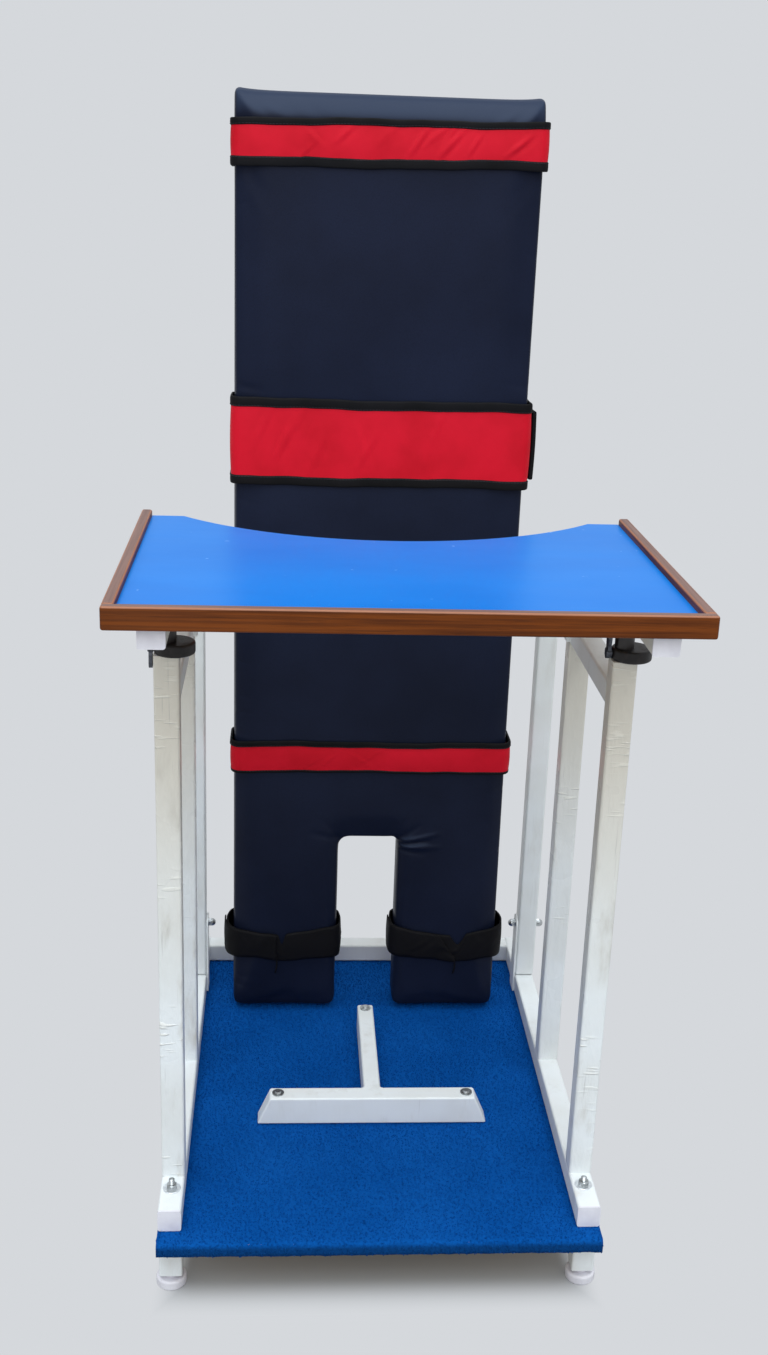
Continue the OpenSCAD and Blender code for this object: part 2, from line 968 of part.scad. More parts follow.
// Tilt clamp: knob outside the rear upright, its bolt through the stay's slot and a nut inside
module clamp_knob(sx) {
    knob_x = rear_outer_x + moving_gap;
    nut_x = inner_x - stay_t - moving_gap - washer_t;
    nut_t = bolt_d * nut_h;
    color(black_plastic)
        translate([0, rear_y, clamp_z])
            union() {
                translate([sx * knob_x, 0, 0])
                    rotate([0, 90 * sx, 0])
                        fluted_knob(clamp_knob_d, clamp_knob_t, 8);
                translate([sx * (knob_x + nut_x - nut_t) / 2, 0, 0])
                    rod_x(bolt_d, knob_x - nut_x + nut_t + over);
                translate([sx * (nut_x + washer_t / 2), 0, 0])
                    rod_x(bolt_d * washer_w, washer_t);
                translate([sx * nut_x, 0, 0])
                    rotate([0, -90 * sx, 0])
                        cylinder(d = bolt_d * nut_w / cos(30), h = nut_t, $fn = 6);
            }
}

module left_clamp_knob() {
    clamp_knob(-1);
}

module right_clamp_knob() {
    clamp_knob(1);
}

// Straps

// Plan of a strap round the board: open behind, with its ends folded over the back
module strap_plan() {
    depth = back_y - pad_front_y + 2 * soft_gap;
    difference() {
        translate([0, (back_y + pad_front_y) / 2])
            difference() {
                round_square([pad_w + 2 * soft_gap + 2 * strap_t, depth + 2 * strap_t], 2 * strap_t);
                round_square([pad_w + 2 * soft_gap, depth], strap_t);
            }
        translate([-pad_w / 2 + strap_return, back_y - over])
            square([pad_w - 2 * strap_return, 2 * over + 2 * strap_t]);
    }
}

module strap_band(z, height) {
    translate([0, 0, pad_z + z])
        linear_extrude(height)
            strap_plan();
}

module red_band(z, height) {
    color(strap_red)
        strap_band(z + edging_h, height - 2 * edging_h);
}

module edging_pair(z, height) {
    color(webbing_black)
        for (low = [z, z + height - edging_h])
            strap_band(low, edging_h);
}

module chest_strap() {
    red_band(chest_z, chest_h);
}

module chest_edging() {
    edging_pair(chest_z, chest_h);
}

module waist_strap() {
    red_band(waist_z, waist_h);
}

module waist_edging() {
    edging_pair(waist_z, waist_h);
}

// Hook-and-loop end tab on the right side of the waist strap
module waist_tab() {
    color(webbing_black)
        translate([
            pad_w / 2 + soft_gap + strap_t,
            pad_front_y + foam_t / 2 - tab_w / 4,
            pad_z + waist_z + (waist_h - tab_h) / 2
        ])
            cube([strap_t, tab_w, tab_h]);
}

module knee_strap() {
    red_band(knee_z, knee_h);
}

module knee_edging() {
    edging_pair(knee_z, knee_h);
}

// Band round one leg of the pad, with its end lapped over the front
module ankle_strap(sx) {
    leg_w = (pad_w - gap_w) / 2;
    depth = back_y - pad_front_y + 2 * soft_gap;
    color(webbing_black)
        translate([sx * (gap_w + leg_w) / 2, (back_y + pad_front_y) / 2, pad_z + ankle_z])
            linear_extrude(ankle_h)
                union() {
                    difference() {
                        round_square([leg_w + 2 * soft_gap + 2 * strap_t, depth + 2 * strap_t], 2 * strap_t);
                        round_square([leg_w + 2 * soft_gap, depth], strap_t);
                    }
                    translate([-leg_w / 2 + strap_t, -depth / 2 - 2 * strap_t])
                        square([ankle_flap, 2 * strap_t]);
                }
}

module left_ankle_strap() {
    ankle_strap(-1);
}

module right_ankle_strap() {
    ankle_strap(1);
}

// Tray

// Plan of the tray between its lips, with the curved belly cut-out
module tray_plan() {
    difference() {
        translate([-panel_w / 2, tray_front_y + lip_t])
            square([panel_w, tray_d - lip_t]);
        translate([0, tray_back_y - cut_depth + cut_r])
            circle(cut_r, $fn = 180);
    }
}

module tray_panel() {
    color(ply_wood)
        difference() {
            translate([0, 0, panel_z])
                linear_extrude(panel_t)
                    tray_plan();
            tray_screw_holes();
        }
}

module tray_laminate() {
    color(tray_blue)
        translate([0, 0, laminate_z])
            linear_extrude(laminate_t)
                tray_plan();
}

module lip_section() {
    translate([0, lip_h / 2])
        round_square([lip_t, lip_h], lip_r);
}

module front_lip() {
    color(lip_wood)
        translate([-tray_w / 2, tray_front_y + lip_t / 2, lip_z])
            rotate([90, 0, 90])
                linear_extrude(tray_w)
                    lip_section();
}

module side_lip(sx) {
    color(lip_wood)
        translate([sx * (tray_w - lip_t) / 2, tray_back_y, lip_z])
            rotate([90, 0, 0])
                linear_extrude(tray_d - lip_t)
                    lip_section();
}

module left_lip() {
    side_lip(-1);
}

module right_lip() {
    side_lip(1);
}

tray_rail_y = tray_front_y + lip_t + cap_t;
tray_rail_l = tray_d - lip_t - 2 * cap_t - tray_rail_back;

// Rail under the tray with its round leg welded below
module tray_support(sx) {
    color(white_paint)
        difference() {
            union() {
                translate([sx * side_x, tray_rail_y, tray_rail_z + tube / 2])
                    tube_y(tray_rail_l);
                translate([sx * side_x, front_y, upright_top_z - leg_in])
                    difference() {
                        cylinder(d = leg_d, h = leg_in + tray_rise + tube_wall);
                        translate([0, 0, -over])
                            cylinder(d = leg_d - 2 * tube_wall, h = leg_in + tray_rise + over);
                    }
            }
            tray_screw_holes();
        }
}

module left_tray_support() {
    tray_support(-1);
}

module right_tray_support() {
    tray_support(1);
}

module tray_caps() {
    color(white_plastic)
        for (sx = sides) {
            translate([sx * side_x, tray_rail_y, tray_rail_z + tube / 2])
                rotate([90, 0, 0])
                    tube_cap();
            translate([sx * side_x, tray_rail_y + tray_rail_l, tray_rail_z + tube / 2])
                rotate([-90, 0, 0])
                    tube_cap();
        }
}

tray_screw_l = tube + panel_t * 0.7;

module at_tray_screws() {
    ends = [tray_rail_y + 2 * tube, tray_rail_y + tray_rail_l - tube];
    for (sx = sides, y = ends)
        translate([sx * side_x, y, tray_rail_z])
            children();
}

module tray_screw_holes() {
    at_tray_screws()
        translate([0, 0, -over])
            cylinder(d = screw_d + 2 * running_gap, h = tray_screw_l + over + running_gap);
}

module tray_screws() {
    color(zinc)
        at_tray_screws()
            pan_screw(screw_d, tray_screw_l);
}

// Round collars on the uprights that clamp the tray legs, set off to the right
module locking_collars() {
    edge = collar_h / 5;
    color(black_plastic)
        for (sx = sides)
            translate([sx * side_x, front_y, upright_top_z])
                difference() {
                    translate([collar_shift, 0, 0])
                        rotate_extrude()
                            union() {
                                square([collar_d / 2 - edge, collar_h]);
                                translate([0, edge])
                                    square([collar_d / 2, collar_h - 2 * edge]);
                                for (z = [edge, collar_h - edge])
                                    translate([collar_d / 2 - edge, z])
                                        circle(edge);
                            }
                    translate([0, 0, -over])
                        cylinder(d = leg_d + 2 * running_gap, h = collar_h + 2 * over);
                    translate([-collar_d / 2, 0, collar_h / 2])
                        rod_x(lock_screw_d + 2 * running_gap, collar_d);
                }
}

// Locking screw on the left side of a collar, with one wing, turned about its own axis
module lock_screw(sx, turn) {
    tip = leg_d / 2 + moving_gap;
    hub_x = collar_d / 2 - collar_shift + moving_gap;
    color(zinc)
        translate([sx * side_x, front_y, upright_top_z + collar_h / 2])
            union() {
                translate([-(tip + hub_x + over) / 2, 0, 0])
                    rod_x(lock_screw_d, hub_x + over - tip);
                translate([-hub_x - lock_hub_t / 2, 0, 0])
                    rod_x(lock_hub_d, lock_hub_t);
                translate([-hub_x - lock_hub_t / 2 - wing_t / 2, 0, 0])
                    rotate([turn, 0, 0])
                        rotate([90, 0, 90])
                            linear_extrude(wing_t)
                                wing_outline();
            }
}

// Wing seen along the screw: wider towards its round end
module wing_outline() {
    end_y = wing_l - wing_w / 2;
    polygon([[-lock_hub_d / 3, 0], [lock_hub_d / 3, 0], [wing_w / 2, end_y], [-wing_w / 2, end_y]]);
    translate([0, end_y])
        circle(d = wing_w);
}

module left_lock_screw() {
    lock_screw(-1, 180);
}

module right_lock_screw() {
    lock_screw(1, 0);
}

base_board();
base_carpet();
leg_stubs();
stub_inserts();
front_left_foot();
front_right_foot();
rear_left_foot();
rear_right_foot();
left_bottom_rail();
right_bottom_rail();
rear_cross_rail();
tube_caps();
front_left_upright();
front_right_upright();
middle_left_upright();
middle_right_upright();
left_top_rail();
right_top_rail();
leg_bushes();
base_bolts();
base_nuts();
pivot_lugs();
pivot_bolts();
pivot_nuts();
stay_bars();
divider_bar();
divider_stem();
divider_screws();
rear_left_upright();
rear_right_upright();
upper_cross_tube();
lower_cross_tube();
back_stiles();
back_caps();
pad_board();
pad_cushion();
pad_screws();
left_clamp_knob();
right_clamp_knob();
chest_strap();
chest_edging();
waist_strap();
waist_edging();
waist_tab();
knee_strap();
knee_edging();
left_ankle_strap();
right_ankle_strap();
tray_panel();
tray_laminate();
front_lip();
left_lip();
right_lip();
left_tray_support();
right_tray_support();
tray_caps();
tray_screws();
locking_collars();
left_lock_screw();
right_lock_screw();
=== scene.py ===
# %% [markdown]
# # A standing frame with a padded back board
# The rigid parts arrive as exact solids from the CAD frame. This lesson dresses them: it gives
# every part its finish, and builds the soft parts, which solids can't show well, as what they are:
# a stuffed cover, sewn straps and a carpet with pile.

# %% Load the frame
import json
import math

import bmesh
import bpy
import numpy as np
from mathutils import Matrix, Vector


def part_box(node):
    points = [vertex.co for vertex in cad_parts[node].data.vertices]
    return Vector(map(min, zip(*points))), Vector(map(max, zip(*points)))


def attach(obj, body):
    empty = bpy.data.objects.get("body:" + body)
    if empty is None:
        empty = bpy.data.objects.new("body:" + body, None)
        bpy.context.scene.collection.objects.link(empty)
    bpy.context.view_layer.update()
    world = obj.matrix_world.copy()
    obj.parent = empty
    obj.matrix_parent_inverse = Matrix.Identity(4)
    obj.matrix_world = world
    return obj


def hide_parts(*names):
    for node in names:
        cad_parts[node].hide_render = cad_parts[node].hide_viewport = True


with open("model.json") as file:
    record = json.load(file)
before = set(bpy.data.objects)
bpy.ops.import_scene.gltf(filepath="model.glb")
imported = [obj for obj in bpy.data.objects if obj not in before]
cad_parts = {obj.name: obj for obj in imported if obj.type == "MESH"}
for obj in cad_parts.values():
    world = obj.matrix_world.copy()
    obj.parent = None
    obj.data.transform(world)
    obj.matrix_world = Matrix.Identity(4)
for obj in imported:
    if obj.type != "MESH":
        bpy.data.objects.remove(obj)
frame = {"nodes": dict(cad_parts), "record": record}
parts = frame["nodes"]
scene = bpy.context.scene
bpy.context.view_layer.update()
scene.view_settings.view_transform = "Standard"


def corners(node):
    """The lowest and highest corners of a CAD part."""
    low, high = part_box(node)
    return np.array(low, float), np.array(high, float)


def set_all(thing, **settings):
    for name, value in settings.items():
        setattr(thing, name, value)
    return thing


def link(name, data):
    """A new object with this data, put into the scene."""
    made = bpy.data.objects.new(name, data)
    scene.collection.objects.link(made)
    return made


# %% [markdown]
# ## Camera
# The camera was worked out from the picture: the rails, uprights, tray and board are straight and
# square, so one lens and one place explain where their corners fall. It is a hand-held view from
# about head height, looking down a little, with a slight roll.

# %% Camera
PHOTO_HEIGHT, FOCAL_PX, SENSOR_MM = 1355, 1491.9, 36
CAMERA_PLACE = (-0.138, -2.017, 1.4846)
PITCH, YAW, ROLL = (math.radians(a) for a in (18.77, 3.91, -2.01))
lens = FOCAL_PX * SENSOR_MM / PHOTO_HEIGHT
camera = link("camera", bpy.data.cameras.new("camera"))
set_all(camera.data, sensor_width=SENSOR_MM, lens=lens, clip_end=60)
ahead = Vector((math.sin(YAW) * math.cos(PITCH), math.cos(YAW) * math.cos(PITCH), -math.sin(PITCH)))
level = Vector((math.cos(YAW), -math.sin(YAW), 0))
down = ahead.cross(level)
right = level * math.cos(ROLL) + down * math.sin(ROLL)
below = down * math.cos(ROLL) - level * math.sin(ROLL)
turn = Matrix((right, -below, -ahead)).transposed().to_4x4()
camera.matrix_world = Matrix.Translation(CAMERA_PLACE) @ turn
scene.camera = camera
print("lens", round(lens, 2), "mm")

# %% [markdown]
# ## Node helpers
# Every finish below is a small network of shader nodes, and the tufts and stitches are set by
# networks too. One helper holds a network and adds to it. Each of its short ways makes a node,
# fills or links the inputs, and gives back what the next node needs.

# %% Node helpers
class Nodes:
    """A network of nodes, and short ways to add to it."""

    def __init__(self, tree):
        self.tree = tree

    def fill(self, socket, value):
        """Links an output to the socket, or sets the socket to a plain value."""
        if isinstance(value, bpy.types.NodeSocket):
            self.tree.links.new(value, socket)
        else:
            socket.default_value = value

    def add(self, kind, inputs=None, **settings):
        """A new node; its inputs go by name or by number."""
        made = set_all(self.tree.nodes.new(kind), **settings)
        for name, value in (inputs or {}).items():
            self.fill(made.inputs[name], value)
        return made

    def sums(self, operation, *values):
        return self.add("ShaderNodeMath", dict(enumerate(values)), operation=operation).outputs[0]

    def blend(self, share, first, second):
        """A colour between two; a share of 1 is the second."""
        return self.add("ShaderNodeMix", {0: share, 6: first, 7: second}, data_type="RGBA").outputs[2]

    def ramp(self, value, low, high, start=0.0, end=1.0, kind="SMOOTHSTEP"):
        """Start where the value is low or less, end where it is high or more."""
        sizes = {"Value": value, "From Min": low, "From Max": high, "To Min": start, "To Max": end}
        return self.add("ShaderNodeMapRange", sizes, interpolation_type=kind).outputs[0]

    def split(self, vector):
        """The x, y and z of a vector."""
        return self.add("ShaderNodeSeparateXYZ", {"Vector": vector}).outputs


class Group(Nodes):
    """A new node group, with the kinds of its named inputs and of its one output."""

    def __init__(self, tree_kind, name, inputs, output):
        super().__init__(bpy.data.node_groups.new(name, tree_kind))
        for way, sockets in (("INPUT", inputs), ("OUTPUT", output)):
            for label, kind in sockets.items():
                self.tree.interface.new_socket(label, in_out=way, socket_type="NodeSocket" + kind)
        self.given = self.add("NodeGroupInput").outputs
        self.result = self.add("NodeGroupOutput").inputs[0]


def rgb(red, green, blue):
    """An sRGB colour from 0 to 255 as the linear colour that Blender's sockets take."""
    def linear(c):
        c = c / 255
        return c / 12.92 if c <= 0.04045 else ((c + 0.055) / 1.055) ** 2.4
    return (linear(red), linear(green), linear(blue), 1)


# %% [markdown]
# ## Shared effects
# Blotches, scratches and weave turn up on several finishes, so each is a node group with named
# inputs. A group only gives out masks and heights: the shader itself stays in its material. A
# finish starts with a coat of two colours, lays others over it where a mask says, and ends with its
# bump and its roughness.

# %% Shared effect groups
def make_mottle():
    """Soft blotches: a noise whose values from Low to High become a mask from 0 to 1."""
    group = Group("ShaderNodeTree", "mottle", {"Vector": "Vector", "Scale": "Float", "Detail": "Float",
                                               "Low": "Float", "High": "Float"}, {"Mask": "Float"})
    given = group.given
    cloud = group.add("ShaderNodeTexNoise", {"Vector": given["Vector"], "Scale": given["Scale"],
                                             "Detail": given["Detail"], "Roughness": 0.55})
    group.fill(group.result, group.ramp(cloud.outputs[0], given["Low"], given["High"]))
    return group.tree


def make_weave():
    """Over-and-under threads on a UV map that is measured in metres."""
    group = Group("ShaderNodeTree", "weave", {"UV": "Vector", "Threads": "Float"}, {"Height": "Float"})
    waves = []
    for along in group.split(group.given["UV"])[:2]:
        turns = group.sums("MULTIPLY", along, group.given["Threads"])
        waves.append(group.sums("SINE", group.sums("MULTIPLY", turns, 2 * math.pi)))
    group.fill(group.result, group.sums("MULTIPLY_ADD", group.sums("MULTIPLY", *waves), 0.5, 0.5))
    return group.tree


MOTTLE = make_mottle()
WEAVE = make_weave()


class Finish(Nodes):
    """A new material: the inputs of its Principled shader, its coordinates and its colour so far."""

    def __init__(self, name):
        self.material = bpy.data.materials.new(name)
        self.material.use_nodes = True
        super().__init__(self.material.node_tree)
        self.shader = self.tree.nodes["Principled BSDF"].inputs
        self.coordinates = self.add("ShaderNodeTexCoord").outputs
        self.place = self.coordinates["Object"]
        self.colour = None

    def stretched(self, scale):
        return self.add("ShaderNodeMapping", {"Vector": self.place, "Scale": scale}).outputs[0]

    def facing(self, kind="Normal"):
        return self.split(self.add("ShaderNodeNewGeometry").outputs[kind])

    def mottle(self, scale, low, high, detail=3.0):
        """A mask of blotches. Three scales, one for each axis, stretch them."""
        vector = self.place
        if isinstance(scale, tuple):
            vector, scale = self.stretched(scale), 1.0
        sizes = {"Vector": vector, "Scale": scale, "Detail": detail, "Low": low, "High": high}
        return self.add("ShaderNodeGroup", sizes, node_tree=MOTTLE).outputs[0]

    def coat(self, mask, first, second):
        self.colour = self.blend(mask, first, second)

    def lay(self, mask, colour, share=None):
        """Lays a colour over the coat where the mask is, in full or at a share."""
        mask = mask if share is None else self.sums("MULTIPLY", mask, share)
        self.colour = self.blend(mask, self.colour, colour)

    def bump(self, height, strength, distance):
        made = self.add("ShaderNodeBump", {"Height": height, "Strength": strength, "Distance": distance})
        self.fill(self.shader["Normal"], made.outputs[0])

    def roughen(self, mask, gain, least):
        """Roughness from the least value up, by the mask."""
        self.fill(self.shader["Roughness"], self.sums("MULTIPLY_ADD", mask, gain, least))

    def done(self, specular=None):
        self.fill(self.shader["Base Color"], self.colour)
        if specular is not None:
            self.shader["Specular IOR Level"].default_value = specular
        return self.material


# %% [markdown]
# ## White paint
# The tubes are steel with a thin coat of off-white paint. Close up the coat is uneven: it has soft
# creamy blotches, fine vertical scratches, and shallow creases like those of a thin film. The
# creases are only in the bump, because they show by the light that they catch. The front and middle
# uprights have the film itself, which puckers and yellows towards the top. Its puckers are also
# painted lighter, a painted highlight of the light that they catch. The tray's round legs are black
# where they come out of their collars, so that finish tells a leg from a rail by place.

# %% White paint and white plastic
def make_white_paint(name, film):
    """Off-white paint; film is how much it wrinkles, yellows towards the top and gets a painted highlight on
    its puckers, from 0 to 1.
    """
    paint = Finish(name)
    blotch = paint.mottle(7.0, 0.35, 0.7)
    paint.coat(blotch, rgb(229, 235, 238), rgb(221, 225, 225))
    high_up = paint.ramp(paint.split(paint.place)[2], 0.35, 0.85, end=0.25 + 0.7 * film)
    paint.lay(high_up, rgb(211, 206, 193))
    scratch = paint.mottle((260, 260, 9), 0.66, 0.76, 2.0)
    paint.lay(scratch, rgb(150, 150, 146), 0.15 + 0.25 * film)
    smudge = paint.mottle((34, 34, 10), 0.54, 0.8, 5.0)
    paint.lay(smudge, rgb(182, 178, 168), 0.35 + 0.3 * film)
    crease = paint.add("ShaderNodeTexVoronoi", {"Vector": paint.stretched((42, 42, 14)), "Scale": 1.0},
                       feature="DISTANCE_TO_EDGE")
    ridge = paint.ramp(crease.outputs[0], 0.0, 0.12, 1.0, 0.0)
    wobble = paint.mottle((90, 90, 30), 0.2, 0.8)
    height = paint.sums("MULTIPLY_ADD", ridge, smudge, wobble)
    if film:
        puckered = paint.mottle(9.0, 0.5, 0.66, 1.0)
        pucker_and_painted_glint = paint.sums("MULTIPLY", paint.mottle((26, 26, 190), 0.58, 0.72, 1.0), puckered)
        height = paint.sums("MULTIPLY_ADD", pucker_and_painted_glint, 1.6, height)
        # painted highlight: the puckers are painted lighter, in place of the glint of light on the film's
        # creases
        paint.lay(pucker_and_painted_glint, rgb(247, 246, 236), 0.45)
    paint.bump(height, 0.3 + 0.4 * film, 0.0006 + 0.0006 * film)
    paint.roughen(blotch, 0.16, 0.36 - 0.1 * film)
    return paint.done()


def make_plastic(name, clean, dusty, blotches, grain, bump, rough, specular=None):
    """Moulded plastic: dusty blotches in its colour and gloss, and a fine matt grain in its bump."""
    plastic = Finish(name)
    dust = plastic.mottle(*blotches)
    plastic.coat(dust, clean, dusty)
    plastic.bump(plastic.mottle(grain, 0.2, 0.8), bump, 0.0003)
    plastic.roughen(dust, *rough)
    return plastic.done(specular)


def make_support_paint():
    """White rails on black legs: a leg is what lies below the rail and close to the upright's axis."""
    paint = Finish("support_paint")
    low, high = corners("front_right_upright")
    axis, rail_bottom = (low + high) / 2, corners("tray_panel")[0][2] - (high[0] - low[0])
    leg_reach, rail_skin = 0.014, 0.0002
    x, y, z = paint.split(paint.place)
    aside, along = (paint.sums("ABSOLUTE", paint.sums("SUBTRACT", value, float(centre)))
                    for value, centre in ((paint.sums("ABSOLUTE", x), axis[0]), (y, axis[1])))
    near = paint.sums("LESS_THAN", paint.sums("MAXIMUM", aside, along), leg_reach)
    leg = paint.sums("MULTIPLY", near, paint.sums("LESS_THAN", z, float(rail_bottom) - rail_skin))
    blotch = paint.mottle(7.0, 0.35, 0.7)
    rail = paint.blend(blotch, rgb(224, 226, 222), rgb(212, 210, 202))
    rubbed = paint.blend(blotch, rgb(26, 22, 22), rgb(44, 37, 35))
    paint.coat(leg, rail, rubbed)
    paint.bump(paint.mottle((90, 90, 30), 0.2, 0.8), 0.3, 0.0006)
    paint.roughen(blotch, 0.16, 0.34)
    return paint.done()


white_paint = make_white_paint("white_paint", 0.0)
film_paint = make_white_paint("film_paint", 1.0)
support_paint = make_support_paint()
white_plastic = make_plastic("white_plastic", rgb(226, 226, 233), rgb(209, 208, 217),
                             blotches=(22.0, 0.35, 0.7), grain=900.0, bump=0.2, rough=(0.15, 0.4))
print("materials so far", len(bpy.data.materials))


# %% [markdown]
# ## Wood
# Two woods: plain plywood under the covers, and stained lips round the tray. Grain is noise that is
# stretched a lot along the board, so each lip gets the grain along its own length. The lips have a
# painted highlight, a lighter line along their rounded top edges, and a painted sheen that makes
# their level tops greyer and paler. The surface's own direction picks out both. The edge of
# plywood shows its layers as thin bands across the thickness.

# %% Wood finishes
def make_stained_wood(name, grain):
    wood = Finish(name)
    bands = wood.mottle(grain, 0.3, 0.72, 6.0)
    wood.coat(bands, rgb(112, 56, 14), rgb(70, 31, 6))
    wood.lay(wood.mottle(5.0, 0.3, 0.75), rgb(122, 68, 34), 0.3)
    pores = wood.mottle(tuple(5 * scale for scale in grain), 0.62, 0.72, 2.0)
    wood.lay(pores, rgb(46, 22, 8), 0.5)
    upwards = wood.facing()[2]
    rounded = wood.ramp(upwards, 0.2, 0.5, kind="LINEAR")
    flat = wood.ramp(upwards, 0.9, 0.99, kind="LINEAR")
    # painted sheen on the level tops, then a painted highlight along the rounded top edges
    wood.lay(flat, rgb(126, 106, 102), 0.6)
    wood.lay(wood.sums("SUBTRACT", rounded, flat), rgb(188, 136, 110), 0.5)
    wood.bump(wood.sums("SUBTRACT", bands, pores), 0.25, 0.0005)
    wood.roughen(bands, 0.15, 0.34)
    return wood.done(specular=0.13)


def make_plywood(name, grain, layer_axis, two_layers=0.0036):
    wood = Finish(name)
    bands = wood.mottle(grain, 0.3, 0.75, 5.0)
    wood.coat(bands, rgb(214, 184, 140), rgb(182, 142, 94))
    turns = wood.sums("MULTIPLY", wood.split(wood.place)[layer_axis], 2 * math.pi / two_layers)
    edge_on = wood.sums("LESS_THAN", wood.sums("ABSOLUTE", wood.facing("True Normal")[layer_axis]), 0.5)
    every_other = wood.sums("GREATER_THAN", wood.sums("SINE", turns), 0.0)
    wood.lay(wood.sums("MULTIPLY", every_other, edge_on), rgb(120, 84, 52), 0.7)
    wood.bump(bands, 0.25, 0.0004)
    wood.roughen(bands, 0.1, 0.6)
    return wood.done()


front_lip_wood = make_stained_wood("front_lip_wood", (6, 260, 260))
side_lip_wood = make_stained_wood("side_lip_wood", (260, 6, 260))
flat_plywood = make_plywood("flat_plywood", (90, 5, 90), layer_axis=2)
upright_plywood = make_plywood("upright_plywood", (90, 90, 5), layer_axis=1)
print("materials so far", len(bpy.data.materials))


# %% [markdown]
# ## Tray laminate, steel and black plastic
# The laminate is a glossy plastic sheet: one strong blue, with faint wiping marks in its gloss.
# Zinc-plated steel is metal with a cloudy grey coat. The washers are a brighter zinc, and the
# locking screws are the same steel blackened. The collars and the clamp knobs are moulded plastic,
# as the white caps and feet are, with a fine matt grain.

# %% Laminate, steel and black plastic
def make_laminate():
    sheet = Finish("blue_laminate")
    sheet.coat(sheet.mottle((4, 9, 4), 0.3, 0.75), rgb(9, 110, 196), rgb(13, 116, 202))
    sheet.lay(sheet.mottle(95.0, 0.78, 0.82, 1.0), rgb(150, 190, 235), 0.5)
    sheet.roughen(sheet.mottle((10, 26, 10), 0.3, 0.8, 4.0), 0.03, 0.3)
    sheet.bump(sheet.mottle(1400.0, 0.2, 0.8), 0.012, 0.0002)
    return sheet.done(specular=0.08)


def make_steel(name, clear, dull):
    steel = Finish(name)
    cloud = steel.mottle(160.0, 0.3, 0.75)
    steel.coat(cloud, clear, dull)
    steel.shader["Metallic"].default_value = 1.0
    steel.roughen(cloud, 0.2, 0.3)
    return steel.done()


blue_laminate = make_laminate()
zinc_steel = make_steel("zinc_steel", rgb(198, 202, 204), rgb(138, 141, 140))
bright_zinc = make_steel("bright_zinc", rgb(240, 244, 247), rgb(214, 218, 222))
dark_steel = make_steel("dark_steel", rgb(88, 91, 98), rgb(58, 60, 66))
black_plastic = make_plastic("black_plastic", rgb(24, 21, 21), rgb(48, 42, 41),
                             blotches=(70.0, 0.45, 0.8), grain=1100.0, bump=0.35, rough=(0.2, 0.42),
                             specular=0.3)
print("materials so far", len(bpy.data.materials))


# %% [markdown]
# ## Cloth
# The cover is navy vinyl with a fine leather-like grain, and it is painted paler where it looks up,
# a painted sheen of the sky.
# The straps are a tight red fabric and a coarser black tape. Both weaves follow a UV map in metres,
# so the threads run along the strap wherever it bends. The carpet is painted darker where it folds
# down, a painted shade on its fold.

# %% Cloth finishes
def make_vinyl():
    vinyl = Finish("navy_vinyl")
    worn = vinyl.mottle(4.0, 0.3, 0.75)
    vinyl.coat(worn, rgb(18, 24, 42), rgb(26, 33, 54))
    cells = vinyl.add("ShaderNodeTexVoronoi", {"Vector": vinyl.place, "Scale": 620.0}).outputs["Distance"]
    vinyl.lay(cells, rgb(12, 14, 24), 0.35)
    # painted sheen: faces that look up are painted paler, in place of the sky's reflection on the vinyl
    vinyl.lay(vinyl.ramp(vinyl.facing()[2], 0.08, 0.6, end=0.85), rgb(40, 51, 72))
    vinyl.bump(cells, 0.2, 0.0003)
    vinyl.roughen(worn, 0.1, 0.38)
    return vinyl.done(specular=0.09)


def make_woven(name, light, dark, threads, least_rough):
    cloth = Finish(name)
    weave = cloth.add("ShaderNodeGroup", {"UV": cloth.coordinates["UV"], "Threads": threads},
                      node_tree=WEAVE).outputs[0]
    faded = cloth.mottle(14.0, 0.3, 0.75)
    cloth.coat(faded, light, dark)
    cloth.lay(weave, tuple(c * 0.55 for c in dark[:3]) + (1,), 0.25)
    cloth.bump(weave, 0.3, 0.0004)
    cloth.roughen(faded, 0.12, least_rough)
    return cloth.done(specular=0.12)


def make_carpet(fold_low=0.093, fold_high=0.103):
    cloth = Finish("blue_carpet")
    cloth.coat(cloth.mottle(9.0, 0.3, 0.75, 5.0), rgb(3, 77, 155), rgb(8, 85, 166))
    folded = cloth.ramp(cloth.split(cloth.place)[2], fold_low, fold_high, 0.85, 0.0)
    # painted shade: the folds down over the base's edges are painted darker
    cloth.lay(folded, rgb(8, 58, 112))
    tuft = cloth.mottle(420.0, 0.3, 0.72)
    cloth.lay(tuft, rgb(0, 43, 93), 0.3)
    cloth.bump(tuft, 0.5, 0.001)
    cloth.shader["Roughness"].default_value = 0.95
    return cloth.done(specular=0.05)


navy_vinyl = make_vinyl()
red_fabric = make_woven("red_fabric", rgb(212, 18, 42), rgb(194, 12, 33), 800.0, 0.42)
black_webbing = make_woven("black_webbing", rgb(15, 14, 17), rgb(9, 9, 11), 500.0, 0.6)
blue_carpet = make_carpet()
print("materials so far", len(bpy.data.materials))


# %% [markdown]
# ## Finishes on the CAD parts
# Each CAD part keeps its mesh and takes the finish of its slot in the record. The padded board's
# plywood, the uprights with film on them, the tray's supports and the locking screws are given
# theirs one by one.

